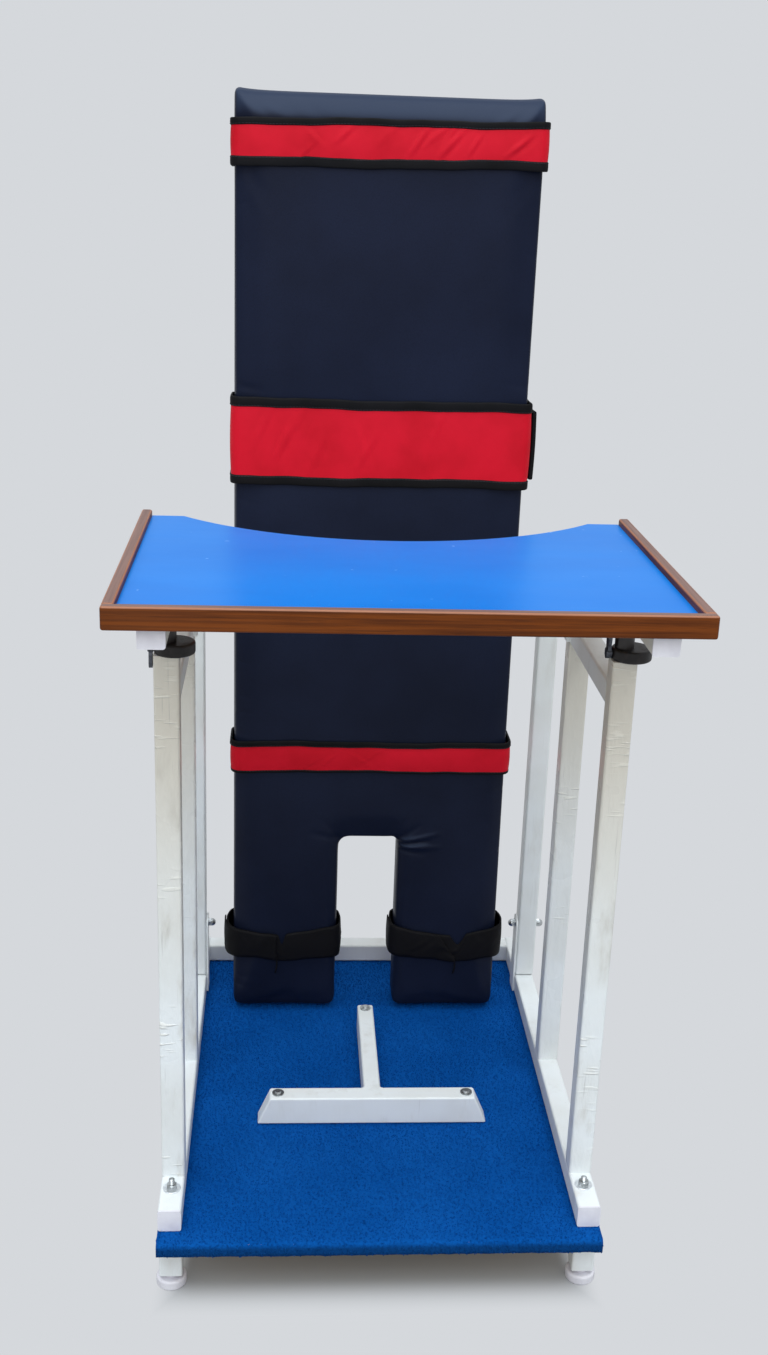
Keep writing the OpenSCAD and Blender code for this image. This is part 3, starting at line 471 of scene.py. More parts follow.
# %% Put the finishes on
SLOT_FINISH = {"white_paint": white_paint, "white_plastic": white_plastic, "plywood": flat_plywood,
               "blue_carpet": blue_carpet, "navy_vinyl": navy_vinyl, "red_fabric": red_fabric,
               "black_webbing": black_webbing, "blue_laminate": blue_laminate, "brown_wood": side_lip_wood,
               "zinc_steel": zinc_steel, "black_plastic": black_plastic}
for entry in frame["record"]["subparts"]:
    data = parts[entry["node"]].data
    data.materials.clear()
    data.materials.append(SLOT_FINISH[entry["material_slot"]])
parts["pad_board"].data.materials[0] = upright_plywood
for side in ("left", "right"):
    for row in ("front", "middle"):
        parts[f"{row}_{side}_upright"].data.materials[0] = film_paint
    parts[side + "_tray_support"].data.materials[0] = support_paint
    parts[side + "_lock_screw"].data.materials[0] = dark_steel
print("finished", len(parts), "CAD parts")

# %% [markdown]
# ## Mesh helpers
# Soft pieces are grids of points.

# %% Mesh helpers
def new_piece(name, points, faces, finish, smooth=True, edges=()):
    mesh = bpy.data.meshes.new(name)
    mesh.from_pydata([tuple(map(float, p)) for p in points], edges, [tuple(map(int, f)) for f in faces])
    mesh.update()
    mesh.materials.append(finish)
    mesh.polygons.foreach_set("use_smooth", [smooth] * len(mesh.polygons))
    return link(name, mesh)


def modify(piece, kind, **settings):
    return set_all(piece.modifiers.new(kind.lower(), kind), **settings)


def bake(piece):
    """Replaces the piece's mesh by what its modifiers make of it, and removes them."""
    graph = bpy.context.evaluated_depsgraph_get()
    mesh = bpy.data.meshes.new_from_object(piece.evaluated_get(graph))
    old = piece.data
    piece.modifiers.clear()
    piece.data = mesh
    bpy.data.meshes.remove(old)
    return piece


def face_outwards(piece):
    made = bmesh.new()
    made.from_mesh(piece.data)
    bmesh.ops.recalc_face_normals(made, faces=made.faces)
    made.to_mesh(piece.data)
    made.free()


def seat(piece, body, slot, *nodes):
    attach(piece, body)
    if nodes:
        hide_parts(*nodes)
    return piece


def grid_faces(rows, cols, closed=False):
    """Quads of a grid stored row by row; closed joins the last column to the first."""
    quads = []
    for r in range(rows - 1):
        for c in range(cols if closed else cols - 1):
            here, after = r * cols, (c + 1) % cols
            quads.append((here + c, here + after, here + cols + after, here + cols + c))
    return quads


def arc(cx, cz, r, start, end, steps=5):
    angles = (math.radians(start + (end - start) * i / steps) for i in range(steps + 1))
    return [(cx + r * math.cos(a), cz + r * math.sin(a)) for a in angles]


# %% [markdown]
# ## Tray lips and foot divider
# The CAD lips and divider have sharp ends. On the real object every wooden and welded edge is
# slightly round and catches a thin line of light, so these bars are made again as boxes with a
# bevel of a few millimetres. The divider's stem and cross-bar are one smooth T: its outline has
# round inner corners, is raised to its height, and slopes in at both ends of the cross-bar.

# %% Rounded bars
def soften(bar, radius=0.003):
    modify(bar, "BEVEL", width=radius, segments=3, harden_normals=True)
    return bake(bar)


def lip_bar(node, finish):
    low, high = corners(node)
    points = [(x, y, z) for x in (low[0], high[0]) for y in (low[1], high[1]) for z in (low[2], high[2])]
    faces = [(0, 1, 3, 2), (4, 6, 7, 5), (0, 4, 5, 1), (2, 3, 7, 6), (0, 2, 6, 4), (1, 5, 7, 3)]
    seat(soften(new_piece(node + "_bar", points, faces, finish)), "tray", "brown_wood", node)


def divider_frame():
    low, high = corners("divider_bar")
    stem = corners("divider_stem")[1]
    r, slope = 0.005, 0.0195
    w, s, inner = high[0], stem[0], high[1]
    outline = ([(-w, low[1]), (w, low[1]), (w, inner)] + arc(s + r, inner + r, r, 270, 180)
               + [(s, stem[1]), (-s, stem[1])] + arc(-s - r, inner + r, r, 360, 270) + [(-w, inner)])
    n = len(outline)
    points = [(x, y, low[2]) for x, y in outline]
    points += [(x - math.copysign(slope, x) if abs(x) == w else x, y, high[2]) for x, y in outline]
    faces = [tuple(range(n - 1, -1, -1)), tuple(range(n, 2 * n))]
    faces += [(i, (i + 1) % n, n + (i + 1) % n, n + i) for i in range(n)]
    bar = soften(new_piece("divider_frame", points, faces, white_paint))
    seat(bar, "frame", "white_paint", "divider_bar", "divider_stem")


for lip, wood in (("front_lip", front_lip_wood), ("left_lip", side_lip_wood), ("right_lip", side_lip_wood)):
    lip_bar(lip, wood)
divider_frame()
print("bars rounded")


# %% [markdown]
# ## Bolts and nuts on the rails
# Each rail is held down by a bolt with a wide flat washer and a hexagon nut. A nut's corners are
# cut back by a cone, so its upper edge is a curve on every flat. Rings of points give all of them:
# round ones for the washer and the thread, and ones that follow the hexagon for nut and head. The
# threads stand higher out of the nuts on the left than on the right.

# %% Rail bolts and nuts
RING_ANGLES = np.linspace(0, 2 * math.pi, 48, endpoint=False)
NUT_FLAT = 0.0064
NUT_HEXAGON = NUT_FLAT / np.cos((RING_ANGLES + math.pi / 6) % (math.pi / 3) - math.pi / 6)
CHAMFERED = NUT_FLAT * 0.95


def ring_solid(rings, points, faces, hollow=True):
    """Adds a solid through rings of points. Hollow joins the last ring to the first, else both get a cap."""
    first, n, rows = len(points), len(rings[0]), len(rings)
    points.extend(point for ring in rings for point in ring)
    for r in range(rows if hollow else rows - 1):
        here, there = first + r * n, first + (r + 1) % rows * n
        faces.extend((here + c, here + (c + 1) % n, there + (c + 1) % n, there + c) for c in range(n))
    if not hollow:
        faces.append(range(first + n - 1, first - 1, -1))
        faces.append(range(first + (rows - 1) * n, first + rows * n))


def at_bolts(name, finish, left, right, *nodes, hollow=True):
    """One solid at each bolt. Its left or right profile gives the radius and height of every ring."""
    low, high = corners("base_nuts")
    washer = 0.0088
    points, faces = [], []
    for x, profile in ((low[0] + washer, left), (high[0] - washer, right)):
        for y in (low[1] + washer, high[1] - washer):
            rings = [[(x + r * math.cos(a), y + r * math.sin(a), h)
                      for a, r, h in zip(RING_ANGLES, radius + 0 * RING_ANGLES, height + 0 * RING_ANGLES)]
                     for radius, height in profile]
            ring_solid(rings, points, faces, hollow)
    seat(new_piece(name, points, faces, finish, smooth=False), "frame", "zinc_steel", *nodes)
    print(name, len(faces), "faces")


def bolt_profile(rise):
    """A head and a thread that ends this far above the CAD bolt."""
    foot, top = (corner[2] for corner in corners("base_bolts"))
    nut_top, tip = corners("base_nuts")[1][2], top + rise
    head, shank, root, pitch = 0.0064, 0.004, 0.0034, 0.00125
    profile = [(CHAMFERED, foot), (NUT_HEXAGON, foot + 0.0007), (NUT_HEXAGON, foot + head),
               (shank, foot + head), (shank, nut_top)]
    for height in np.arange(nut_top + pitch / 2, tip - pitch, pitch):
        profile += [(root, height), (shank, height + pitch / 2)]
    return profile + [(root, tip - 0.0006), (root * 0.8, tip)]


def nut_and_washer():
    low, high = (corner[2] for corner in corners("base_nuts"))
    bore, thread, rim, edge, mid = 0.0043, 0.0041, 0.0122, 0.0004, low + 0.0016
    nut = [(thread, mid), (NUT_HEXAGON, mid), (NUT_HEXAGON, high - edge - 0.6 * (NUT_HEXAGON - NUT_FLAT)),
           (CHAMFERED, high), (thread, high)]
    washer = [(bore, low), (rim - edge, low), (rim, low + edge),
              (rim, mid - edge), (rim - edge, mid), (bore, mid)]
    return nut, washer


rail_nut, rail_washer = nut_and_washer()
at_bolts("rail_bolts", zinc_steel, bolt_profile(0.0049), bolt_profile(0.0026), "base_bolts", hollow=False)
at_bolts("rail_nuts", zinc_steel, rail_nut, rail_nut, "base_nuts")
at_bolts("rail_washers", bright_zinc, rail_washer, rail_washer)


# %% [markdown]
# ## Carpet
# A short-pile carpet lies on the base and folds over its front and back edges. The backing is a
# swept sheet. The pile is thousands of tiny tufts that Geometry Nodes scatter over the sheet and
# tilt at random, so the edge looks furry and not cut from plastic.

# %% Carpet sheet
def carpet_sheet():
    low, high = corners("base_carpet")
    bend, sink, half, cols = 0.0065, 0.0012, high[0] + 0.0004, 70
    top, hem = high[2] - sink, (low[2] + 0.001, low[2] + 0.006)
    inner = np.linspace(low[1] + bend, high[1] - bend, 90)[1:-1]
    outline = [(low[1], z) for z in hem] + arc(low[1] + bend, top - bend, bend, 180, 90)
    outline += [(y, top) for y in inner]
    outline += arc(high[1] - bend, top - bend, bend, 90, 0) + [(high[1], z) for z in reversed(hem)]
    chance = np.random.default_rng(7)
    ripple = np.minimum(chance.normal(0, 0.0005, (len(outline), cols)), 0.0004)
    points = [(x, y, z + ripple[r][c]) for r, (y, z) in enumerate(outline)
              for c, x in enumerate(np.linspace(-half, half, cols))]
    sheet = new_piece("carpet_sheet", points, grid_faces(len(outline), cols), blue_carpet)
    return sheet, (2 * half, sum(math.dist(a, b) for a, b in zip(outline, outline[1:])))


carpet, carpet_flat = carpet_sheet()
print("carpet flat size", carpet_flat)


# %% Carpet pile by Geometry Nodes
def geometry_group(name, **sizes):
    return Group("GeometryNodeTree", name, {"Geometry": "Geometry", **sizes}, {"Geometry": "Geometry"})


def stand_copies(group, points, shape, rotation, finish):
    """Ends a geometry group: a copy of the shape stands on each point, and all become one mesh."""
    stand = group.add("GeometryNodeInstanceOnPoints",
                      {"Points": points, "Instance": shape, "Rotation": rotation})
    real = group.add("GeometryNodeRealizeInstances", {"Geometry": stand.outputs[0]})
    coat = group.add("GeometryNodeSetMaterial", {"Geometry": real.outputs[0], "Material": finish})
    group.fill(group.result, coat.outputs[0])
    return group.tree


def grow(piece, tree, **sizes):
    """Runs a tree on the piece. Each size is set by the identifier of the socket so named."""
    made = modify(piece, "NODES", node_group=tree)
    for item in tree.interface.items_tree:
        if item.item_type == "SOCKET" and item.in_out == "INPUT" and item.name in sizes:
            made[item.identifier] = sizes[item.name]
    return bake(piece)


def pile_tree(finish):
    group = geometry_group("carpet_pile", tufts_per_m2="Float", tuft_height="Float", tuft_width="Float")
    given = group.given
    spread = group.add("GeometryNodeDistributePointsOnFaces",
                       {"Mesh": given["Geometry"], "Density": given["tufts_per_m2"], "Seed": 11}).outputs
    tuft = group.add("GeometryNodeMeshCone",
                     {"Vertices": 3, "Radius Top": 0.0, "Radius Bottom": given["tuft_width"],
                      "Depth": given["tuft_height"]}, fill_type="NGON")
    lean = group.add("FunctionNodeRandomValue", {0: (-0.5, -0.5, 0), 1: (0.5, 0.5, 6.28), "Seed": 5},
                     data_type="FLOAT_VECTOR")
    turned = group.add("FunctionNodeRotateRotation",
                       {"Rotation": spread["Rotation"], "Rotate By": lean.outputs[0]}, rotation_space="LOCAL")
    return stand_copies(group, spread["Points"], tuft.outputs["Mesh"], turned.outputs[0], finish)


pile = grow(link("carpet_pile", carpet.data.copy()), pile_tree(blue_carpet),
            tufts_per_m2=60000.0, tuft_height=0.0026, tuft_width=0.0013)
print("pile faces", len(pile.data.polygons))
modify(carpet, "SOLIDIFY", thickness=0.0017, offset=-1)
bake(carpet)
seat(carpet, "frame", "blue_carpet", "base_carpet")
seat(pile, "frame", "blue_carpet")


# %% [markdown]
# ## Padded cover
# Foam on a plywood board, under vinyl that is pulled round the edges and stapled behind. The shape
# starts a little too thin, is divided into even squares, and is then blown up as cloth: its back
# edge is held, the front swells until the cover is tight, and a cap keeps it from bulging more
# than real foam would.

# %% Cover before stuffing
PAD_LOW, PAD_HIGH = corners("pad_cushion")
PLY_LOW, PLY_HIGH = corners("pad_board")
HALF_W = (PAD_HIGH[0] - PAD_LOW[0]) / 2
PAD_H = PAD_HIGH[2] - PAD_LOW[2]
GAP_HALF, GAP_TOP = 0.0495, PAD_LOW[2] + 0.320
SWELL = 0.005


def pad_outline(inset):
    """The board's outline seen from the front, counter-clockwise, with its corners rounded."""
    w, g = HALF_W - inset, GAP_HALF + inset
    low, high, gap = PAD_LOW[2] + inset, PAD_HIGH[2] - inset, GAP_TOP + inset
    tight, soft, open_left, open_right = 0.004, 0.014, 0.016, 0.005
    turns = ((-w + tight, high - tight, tight, 90, 180), (-w + soft, low + soft, soft, 180, 270),
             (-g - soft, low + soft, soft, 270, 360), (-g + open_left, gap - open_left, open_left, 180, 90),
             (g - open_right, gap - open_right, open_right, 90, 0), (g + soft, low + soft, soft, 180, 270),
             (w - soft, low + soft, soft, 270, 360), (w - tight, high - tight, tight, 0, 90))
    return [point for turn in turns for point in arc(*turn)]


def raw_cover():
    front, back, edge = PAD_LOW[1] + SWELL * 0.9, PLY_HIGH[1] - 0.0006, 0.010
    made = bmesh.new()
    rings = [[made.verts.new((x, depth, z)) for x, z in pad_outline(inset)]
             for depth, inset in ((back, 0.0), (front + edge, 0.0),
                                  (front + edge * 0.3, edge * 0.3), (front, edge))]
    count = len(rings[0])
    for a, b in zip(rings, rings[1:]):
        for i in range(count):
            made.faces.new((a[i], a[(i + 1) % count], b[(i + 1) % count], b[i]))
    made.faces.new(rings[-1])
    made.faces.new(reversed(rings[0]))
    bmesh.ops.recalc_face_normals(made, faces=made.faces)
    bmesh.ops.triangulate(made, faces=made.faces)
    mesh = bpy.data.meshes.new("pad_cover")
    made.to_mesh(mesh)
    made.free()
    mesh.materials.append(navy_vinyl)
    raw = link("pad_cover", mesh)
    modify(raw, "REMESH", mode="VOXEL", voxel_size=0.006)
    return bake(raw)


cover = raw_cover()
print("cover faces", len(cover.data.polygons))


# %% Stuff the cover
def read_points(mesh):
    flat = np.empty(len(mesh.vertices) * 3)
    mesh.vertices.foreach_get("co", flat)
    return flat.reshape(-1, 3)


def write_points(mesh, points):
    mesh.vertices.foreach_set("co", np.ascontiguousarray(points).ravel())
    mesh.update()


def stuff(piece, held, pressure, most, sideways, frames=20):
    """Blows the piece up as cloth; sideways is the part of the move that the cut of the cover allows."""
    before = read_points(piece.data).copy()
    held_group = piece.vertex_groups.new(name="held")
    held_group.add([int(i) for i in np.nonzero(held(before))[0]], 1.0, "REPLACE")
    cloth = modify(piece, "CLOTH")
    set_all(cloth.settings, quality=5, mass=0.3, tension_stiffness=25, compression_stiffness=25,
            bending_stiffness=3, vertex_group_mass="held", use_pressure=True, uniform_pressure_force=pressure)
    cloth.settings.effector_weights.gravity = 0
    set_all(cloth.point_cache, frame_start=1, frame_end=frames)
    for step in range(1, frames + 1):
        scene.frame_set(step)
    bake(piece)
    scene.frame_set(1)
    moved = read_points(piece.data) - before
    far = np.linalg.norm(moved, axis=1, keepdims=True)
    limited = moved * np.minimum(1.0, most / np.maximum(far, 1e-9)) * np.array([sideways, 1.0, sideways])
    write_points(piece.data, before + limited)
    print(piece.name, "swelled by up to", round(float(np.linalg.norm(limited, axis=1).max()) * 1000, 1), "mm")


stuff(cover, held=lambda p: p[:, 1] > PLY_LOW[1] + 0.004, pressure=4.0, most=SWELL, sideways=0.15)


# %% [markdown]
# ## Creases in the cover
# Cloth that turns a tight inside corner bunches up: folds run out from the top corners of the leg
# gap. Long sides draw in between their corners and the top edge dips, so small ears stand up. These
# are moves of the points, along lines read from the picture.

# %% Draw in the sides and press the folds
CORNER_FOLDS = (((0.058, 0.424), (0.122, 0.442), 0.0042, -0.0042),
                ((0.058, 0.415), (0.124, 0.416), 0.0042, -0.0036),
                ((0.051, 0.420), (0.104, 0.428), 0.0040, 0.0046),
                ((0.052, 0.430), (0.090, 0.458), 0.0050, 0.0030),
                ((0.052, 0.410), (0.100, 0.402), 0.0045, 0.0024),
                ((-0.052, 0.428), (-0.098, 0.441), 0.0055, 0.0022),
                ((-0.050, 0.432), (-0.078, 0.466), 0.0050, 0.0018))


def on_front(points):
    """1 on the foam's front, falling to 0 at the plywood."""
    return np.clip((PLY_LOW[1] - points[:, 1]) / 0.03, 0, 1)


def fold(points, start, end, width, depth):
    """Presses a tapering groove between two points of the front, given as x and z; below 0 is a ridge."""
    a, b = np.array(start), np.array(end)
    run = b - a
    flat = points[:, [0, 2]]
    t = np.clip(((flat - a) @ run) / (run @ run), 0, 1)
    off = np.linalg.norm(flat - (a + t[:, None] * run), axis=1)
    points[:, 1] += depth * np.exp(-(off / width) ** 2) * (1 - t) ** 0.6 * on_front(points)


def shape_cover(points):
    drawn_in, ear, dip, roll_height, roll_depth, pressed = 0.002, 0.0045, 0.0022, 0.040, 0.020, 0.0014
    up = np.clip((points[:, 2] - PAD_LOW[2]) / PAD_H, 0, 1)
    across = np.abs(points[:, 0]) / HALF_W
    front = on_front(points)
    points[:, 0] *= 1 - drawn_in / HALF_W * np.sin(np.pi * up) * front
    points[:, 2] += (ear * across ** 10 - dip) * up ** 30
    roll = np.clip((points[:, 2] - PAD_HIGH[2] + roll_height) / roll_height, 0, 1)
    points[:, 1] += roll_depth * roll ** 1.6 * front
    for kind in ("chest_strap", "waist_strap", "knee_strap"):
        low, high = corners(kind)
        middle, half = (low[2] + high[2]) / 2, (high[2] - low[2]) / 2
        points[:, 1] += pressed * np.exp(-((points[:, 2] - middle) / half) ** 6) * front


def finish_cover():
    modify(cover, "SUBSURF", levels=1, render_levels=1)
    bake(cover)
    points = read_points(cover.data).copy()
    shape_cover(points)
    for crease in CORNER_FOLDS:
        fold(points, *crease)
    chance = np.random.default_rng(3)
    for _ in range(30):
        side = chance.choice((-1, 1))
        z = chance.uniform(PAD_LOW[2] + 0.02, PAD_HIGH[2] - 0.05)
        end = (side * (HALF_W - chance.uniform(0.02, 0.05)), z + chance.uniform(-0.012, 0.012))
        fold(points, (side * HALF_W, z), end, 0.004, chance.uniform(0.0005, 0.0012))
    write_points(cover.data, points)
    cover.data.polygons.foreach_set("use_smooth", [True] * len(cover.data.polygons))
    seat(cover, "back", "navy_vinyl", "pad_cushion")
    print("cover triangles", 2 * len(cover.data.polygons))


finish_cover()


# %% [markdown]
# ## Cover returns and staples
# Behind, the vinyl comes round the plywood's edge in a strip and is stapled down. The strip is the
# outline and a smaller copy of it, joined and given a thickness. Geometry Nodes set the staples
# along a line in the middle of the strip.

# %% Returns and staples
RETURN_INSET = 0.0025


def outline_strip(width):
    outer, inner = pad_outline(RETURN_INSET), pad_outline(RETURN_INSET + width)
    near, far = PLY_HIGH[1] + 0.0002, PLY_HIGH[1] + 0.0012
    rings = [[(x, y, z) for x, z in edge]
             for edge, y in ((outer, near), (inner, near), (inner, far), (outer, far))]
    points, faces = [], []
    ring_solid(rings, points, faces)
    strip = new_piece("cover_returns", points, faces, navy_vinyl, smooth=False)
    face_outwards(strip)
    seat(strip, "back", "navy_vinyl")


def along_tree(name, finish):
    """Small blocks set at even distances along the edges of a wire mesh, turned to follow it."""
    group = geometry_group(name, spacing="Float", block_size="Vector")
    given = group.given
    line = group.add("GeometryNodeMeshToCurve", {"Mesh": given["Geometry"]})
    dots = group.add("GeometryNodeCurveToPoints", {"Curve": line.outputs[0], "Length": given["spacing"]},
                     mode="LENGTH").outputs
    block = group.add("GeometryNodeMeshCube", {"Size": given["block_size"]})
    face = group.add("FunctionNodeAlignRotationToVector", {"Vector": dots["Tangent"]}, axis="X")
    return stand_copies(group, dots["Points"], block.outputs["Mesh"], face.outputs[0], finish)


def set_along(name, paths, finish, slot, spacing, block_size):
    points, edges = [], []
    for path in paths:
        edges += [(len(points) + i, len(points) + i + 1) for i in range(len(path) - 1)]
        points += path
    wire = new_piece(name, points, [], finish, edges=edges)
    piece = grow(wire, along_tree(name, finish), spacing=spacing, block_size=block_size)
    seat(piece, "back", slot)
    print(name, len(piece.data.polygons) // 6)


outline_strip(0.030)
middle_line = pad_outline(RETURN_INSET + 0.018)
staple_path = [(x, PLY_HIGH[1] + 0.0013, z) for x, z in middle_line + middle_line[:1]]
set_along("cover_staples", [staple_path], zinc_steel, "zinc_steel",
          spacing=0.042, block_size=(0.010, 0.0009, 0.0009))


# %% [markdown]
# ## Straps
# A strap is a band of red fabric with black tape folded over both edges, pulled round the board and
# fixed behind it. One path round the board carries everything: the fabric is a grid along the path
# with slanted pulls in it, and each tape is a rounded section swept along the same path.

# %% Path round the board
def strap_path(half, front, back, radius, reach, step=0.003, bend_steps=8):
    """Points and outward directions from behind the left edge, round the front, to behind the right."""
    walk = []

    def straight(a, b, way):
        n = max(2, int(math.dist(a, b) / step))
        walk.extend(((a[0] + (b[0] - a[0]) * i / n, a[1] + (b[1] - a[1]) * i / n), way) for i in range(n))

    def bend(cx, cy, start):
        for i in range(bend_steps):
            t = math.radians(start + 90 * i / bend_steps)
            way = (math.cos(t), math.sin(t))
            walk.append(((cx + radius * way[0], cy + radius * way[1]), way))

    r = radius
    straight((-half + reach, back), (-half + r, back), (0, 1))
    bend(-half + r, back - r, 90)
    straight((-half, back - r), (-half, front + r), (-1, 0))
    bend(-half + r, front + r, 180)
    straight((-half + r, front), (half - r, front), (0, -1))
    bend(half - r, front + r, 270)
    straight((half, front + r), (half, back - r), (1, 0))
    bend(half - r, back - r, 0)
    straight((half - r, back), (half - reach, back), (0, 1))
    walk.append(((half - reach, back), (0, 1)))
    spots, out = (np.array(column) for column in zip(*walk))
    run = np.concatenate([[0], np.cumsum(np.linalg.norm(np.diff(spots, axis=0), axis=1))])
    return spots, out, run


def edge_drift(run, seed, size=0.0009):
    """A slow wander of a strap's edge along its length."""
    chance = np.random.default_rng(seed)
    drift = np.zeros_like(run)
    for waves, part in ((2, 1.0), (5, 0.6), (11, 0.3)):
        drift += part * np.sin(2 * np.pi * waves * run / run[-1] + chance.uniform(0, 6.28))
    return size * drift


def set_uv(mesh, u, v):
    layer = mesh.uv_layers.new(name="UVMap")
    corner_points = np.empty(len(mesh.loops), int)
    mesh.loops.foreach_get("vertex_index", corner_points)
    layer.data.foreach_set("uv", np.stack([u, v], 1)[corner_points].ravel())


# %% Bands and tapes
def thicken(piece, thickness):
    modify(piece, "SOLIDIFY", thickness=thickness, offset=0)


def band(name, path, low, high, lift, finish, seed, pulls, bulge, thick=0.0018, rows=19, pull_height=0.0015):
    """A fabric band between two heights, which may wander along the path, with slanted pulls."""
    spots, out, run = path
    cols = len(run)
    chance = np.random.default_rng(seed)
    t = np.linspace(0, 1, rows)[:, None]
    across = low[None, :] * (1 - t) + high[None, :] * t
    height = bulge * np.sin(np.pi * t) * np.ones((1, cols)) + lift
    tall = float((high - low).mean())
    margin = min(0.14, run[-1] / 5)
    for _ in range(pulls):
        start = chance.uniform(margin, run[-1] - margin)
        slope = chance.choice((-1, 1), p=(0.25, 0.75)) * chance.uniform(0.5, 1.5)
        wide, deep = chance.uniform(0.0028, 0.006), chance.uniform(0.3, 1.0) * pull_height
        mid, long = chance.uniform(0.1, 0.9), chance.uniform(0.2, 0.45)
        reach = np.exp(-(((t - mid) / long) ** 2)) * np.sin(np.pi * t) ** 0.5
        aside = run[None, :] - start - slope * (t - 0.5) * min(tall, 0.05)
        ridge, hollow = (np.exp(-((off / wide) ** 2)) for off in (aside, aside - 2 * wide))
        height = height + deep * reach * (ridge - 0.6 * hollow)
    place = spots[None, :, :] + out[None, :, :] * height[:, :, None]
    points = np.concatenate([place, across[:, :, None]], axis=2).reshape(-1, 3)
    piece = new_piece(name, points, grid_faces(rows, cols), finish)
    set_uv(piece.data, np.tile(run, rows), across.ravel())
    thicken(piece, thick)
    return bake(piece), (tall, float(run[-1]))


def tape(name, path, centre, tall, lift, deep, finish):
    """A soft rounded tape swept along the path; centre is its height at each point."""
    spots, out, run = path
    section = []
    for a in np.linspace(0, 2 * math.pi, 14, endpoint=False):
        section.append(tuple(0.5 * size * math.copysign(abs(wave) ** 0.55, wave)
                             for size, wave in ((tall, math.sin(a)), (deep, math.cos(a)))))
    points = [(x + nx * (lift + away), y + ny * (lift + away), z + up)
              for (x, y), (nx, ny), z in zip(spots, out, centre) for up, away in section]
    n = len(section)
    faces = grid_faces(len(run), n, closed=True)
    faces += [tuple(range(n)), tuple(range((len(run) - 1) * n, len(run) * n))]
    piece = new_piece(name, points, faces, finish)
    face_outwards(piece)
    set_uv(piece.data, np.repeat(run, n), np.tile([up for up, away in section], len(run)))
    return piece


# %% Chest, waist and knee straps
STRAP_SIDE = 0.0008
STRAP_FRONT, STRAP_BACK = PAD_LOW[1] - 0.0006, PLY_HIGH[1] + 0.0016
FABRIC_LIFT, TAPE_LIFT, TAPE_DEPTH, SEAM_INSET = 0.0016, 0.0018, 0.0046, 0.002
board_path = strap_path(HALF_W + STRAP_SIDE, STRAP_FRONT, STRAP_BACK, radius=0.011, reach=0.045)
stitch_paths = []


def board_strap(kind, seed, pulls, pull_height, bulge, lower_tape, upper_tape, left_drop=0.0, tuck=0.0):
    """left_drop lowers the strap's left end; tuck sets the lower tape back under the fabric."""
    low, high = corners(kind + "_edging")
    spots, out, run = board_path
    slant = left_drop * (spots[:, 0] / HALF_W - 1) / 2
    low_edge = low[2] + lower_tape / 2 + slant + edge_drift(run, seed)
    high_edge = high[2] - upper_tape / 2 + slant + edge_drift(run, seed + 1)
    fabric, flat = band(kind + "_strap_fabric", board_path, low_edge, high_edge, FABRIC_LIFT, red_fabric,
                        seed + 2, pulls, bulge, pull_height=pull_height)
    seat(fabric, "back", "red_fabric", kind + "_strap")
    for name, centre, tall, inwards, lift in (("lower", low_edge, lower_tape, 1, TAPE_LIFT - tuck),
                                              ("upper", high_edge, upper_tape, -1, TAPE_LIFT)):
        edging = tape(kind + "_tape_" + name, board_path, centre, tall, lift, TAPE_DEPTH, black_webbing)
        seat(edging, "back", "black_webbing")
        seam = centre + inwards * (tall / 2 - SEAM_INSET)
        surface = spots + out * (lift + TAPE_DEPTH / 2)
        stitch_paths.append([(x, y, z) for (x, y), z in zip(surface, seam)][::2])
    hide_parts(kind + "_edging")
    print(kind, "strap flat size", [round(f, 3) for f in flat])


board_strap("chest", seed=21, pulls=13, pull_height=0.0016, bulge=0.0012,
            lower_tape=0.014, upper_tape=0.0105, left_drop=0.007)
board_strap("waist", seed=41, pulls=12, pull_height=0.0009, bulge=0.0018,
            lower_tape=0.014, upper_tape=0.0150)
board_strap("knee", seed=61, pulls=6, pull_height=0.0006, bulge=0.0012,
            lower_tape=0.006, upper_tape=0.0100, tuck=0.0012)


# %% [markdown]
# ## Stitches
# The tapes are sewn on with one row of stitches near their inner edge. Each stitch is a block of a
# few millimetres, set along the seam lines by the same Geometry Nodes tree as the staples.

# %% Stitches
black_thread = make_woven("black_thread", rgb(58, 57, 62), rgb(40, 39, 44), 900.0, 0.6)
set_along("strap_stitches", stitch_paths, black_thread, "black_webbing",
          spacing=0.0048, block_size=(0.0032, 0.0007, 0.0007))

# %% [markdown]
# ## Ankle straps and end tab
# Each ankle strap is a plain black band right round one leg of the board, with its end lapped over
# the front and a loose tip that turns down. The waist strap ends in a black hook-and-loop tab on
# the right side of the board.

# %% Ankle straps
def ring_path(x_low, x_high, front, back, radius):
    half = (x_high - x_low) / 2
    spots, out, run = strap_path(half, front, back, radius, half - 0.0001)
    return spots + np.array([(x_low + x_high) / 2, 0]), out, run


def tent(u, middle):
    """1 at the middle, falling straight to 0 at both ends of 0 to 1."""
    return np.clip(np.where(u < middle, u / middle, (1 - u) / (1 - middle)), 0, 1)


def ankle_tail(name, x, y, top):
    """The loose tip: a narrow strip that hangs down with a slight curve."""
    rows, half, swing, lean, drop = 9, 0.0013, 0.003, 0.002, 0.036
    points = [(x + swing * math.sin(3 * t) + aside, y + lean * t, top - drop * t)
              for t in np.linspace(0, 1, rows) for aside in (-half, half)]
    strip = new_piece(name, points, grid_faces(rows, 2), black_webbing)
    set_uv(strip.data, *np.array(points).T[[0, 2]])
    thicken(strip, 0.0012)
    seat(bake(strip), "back", "black_webbing")


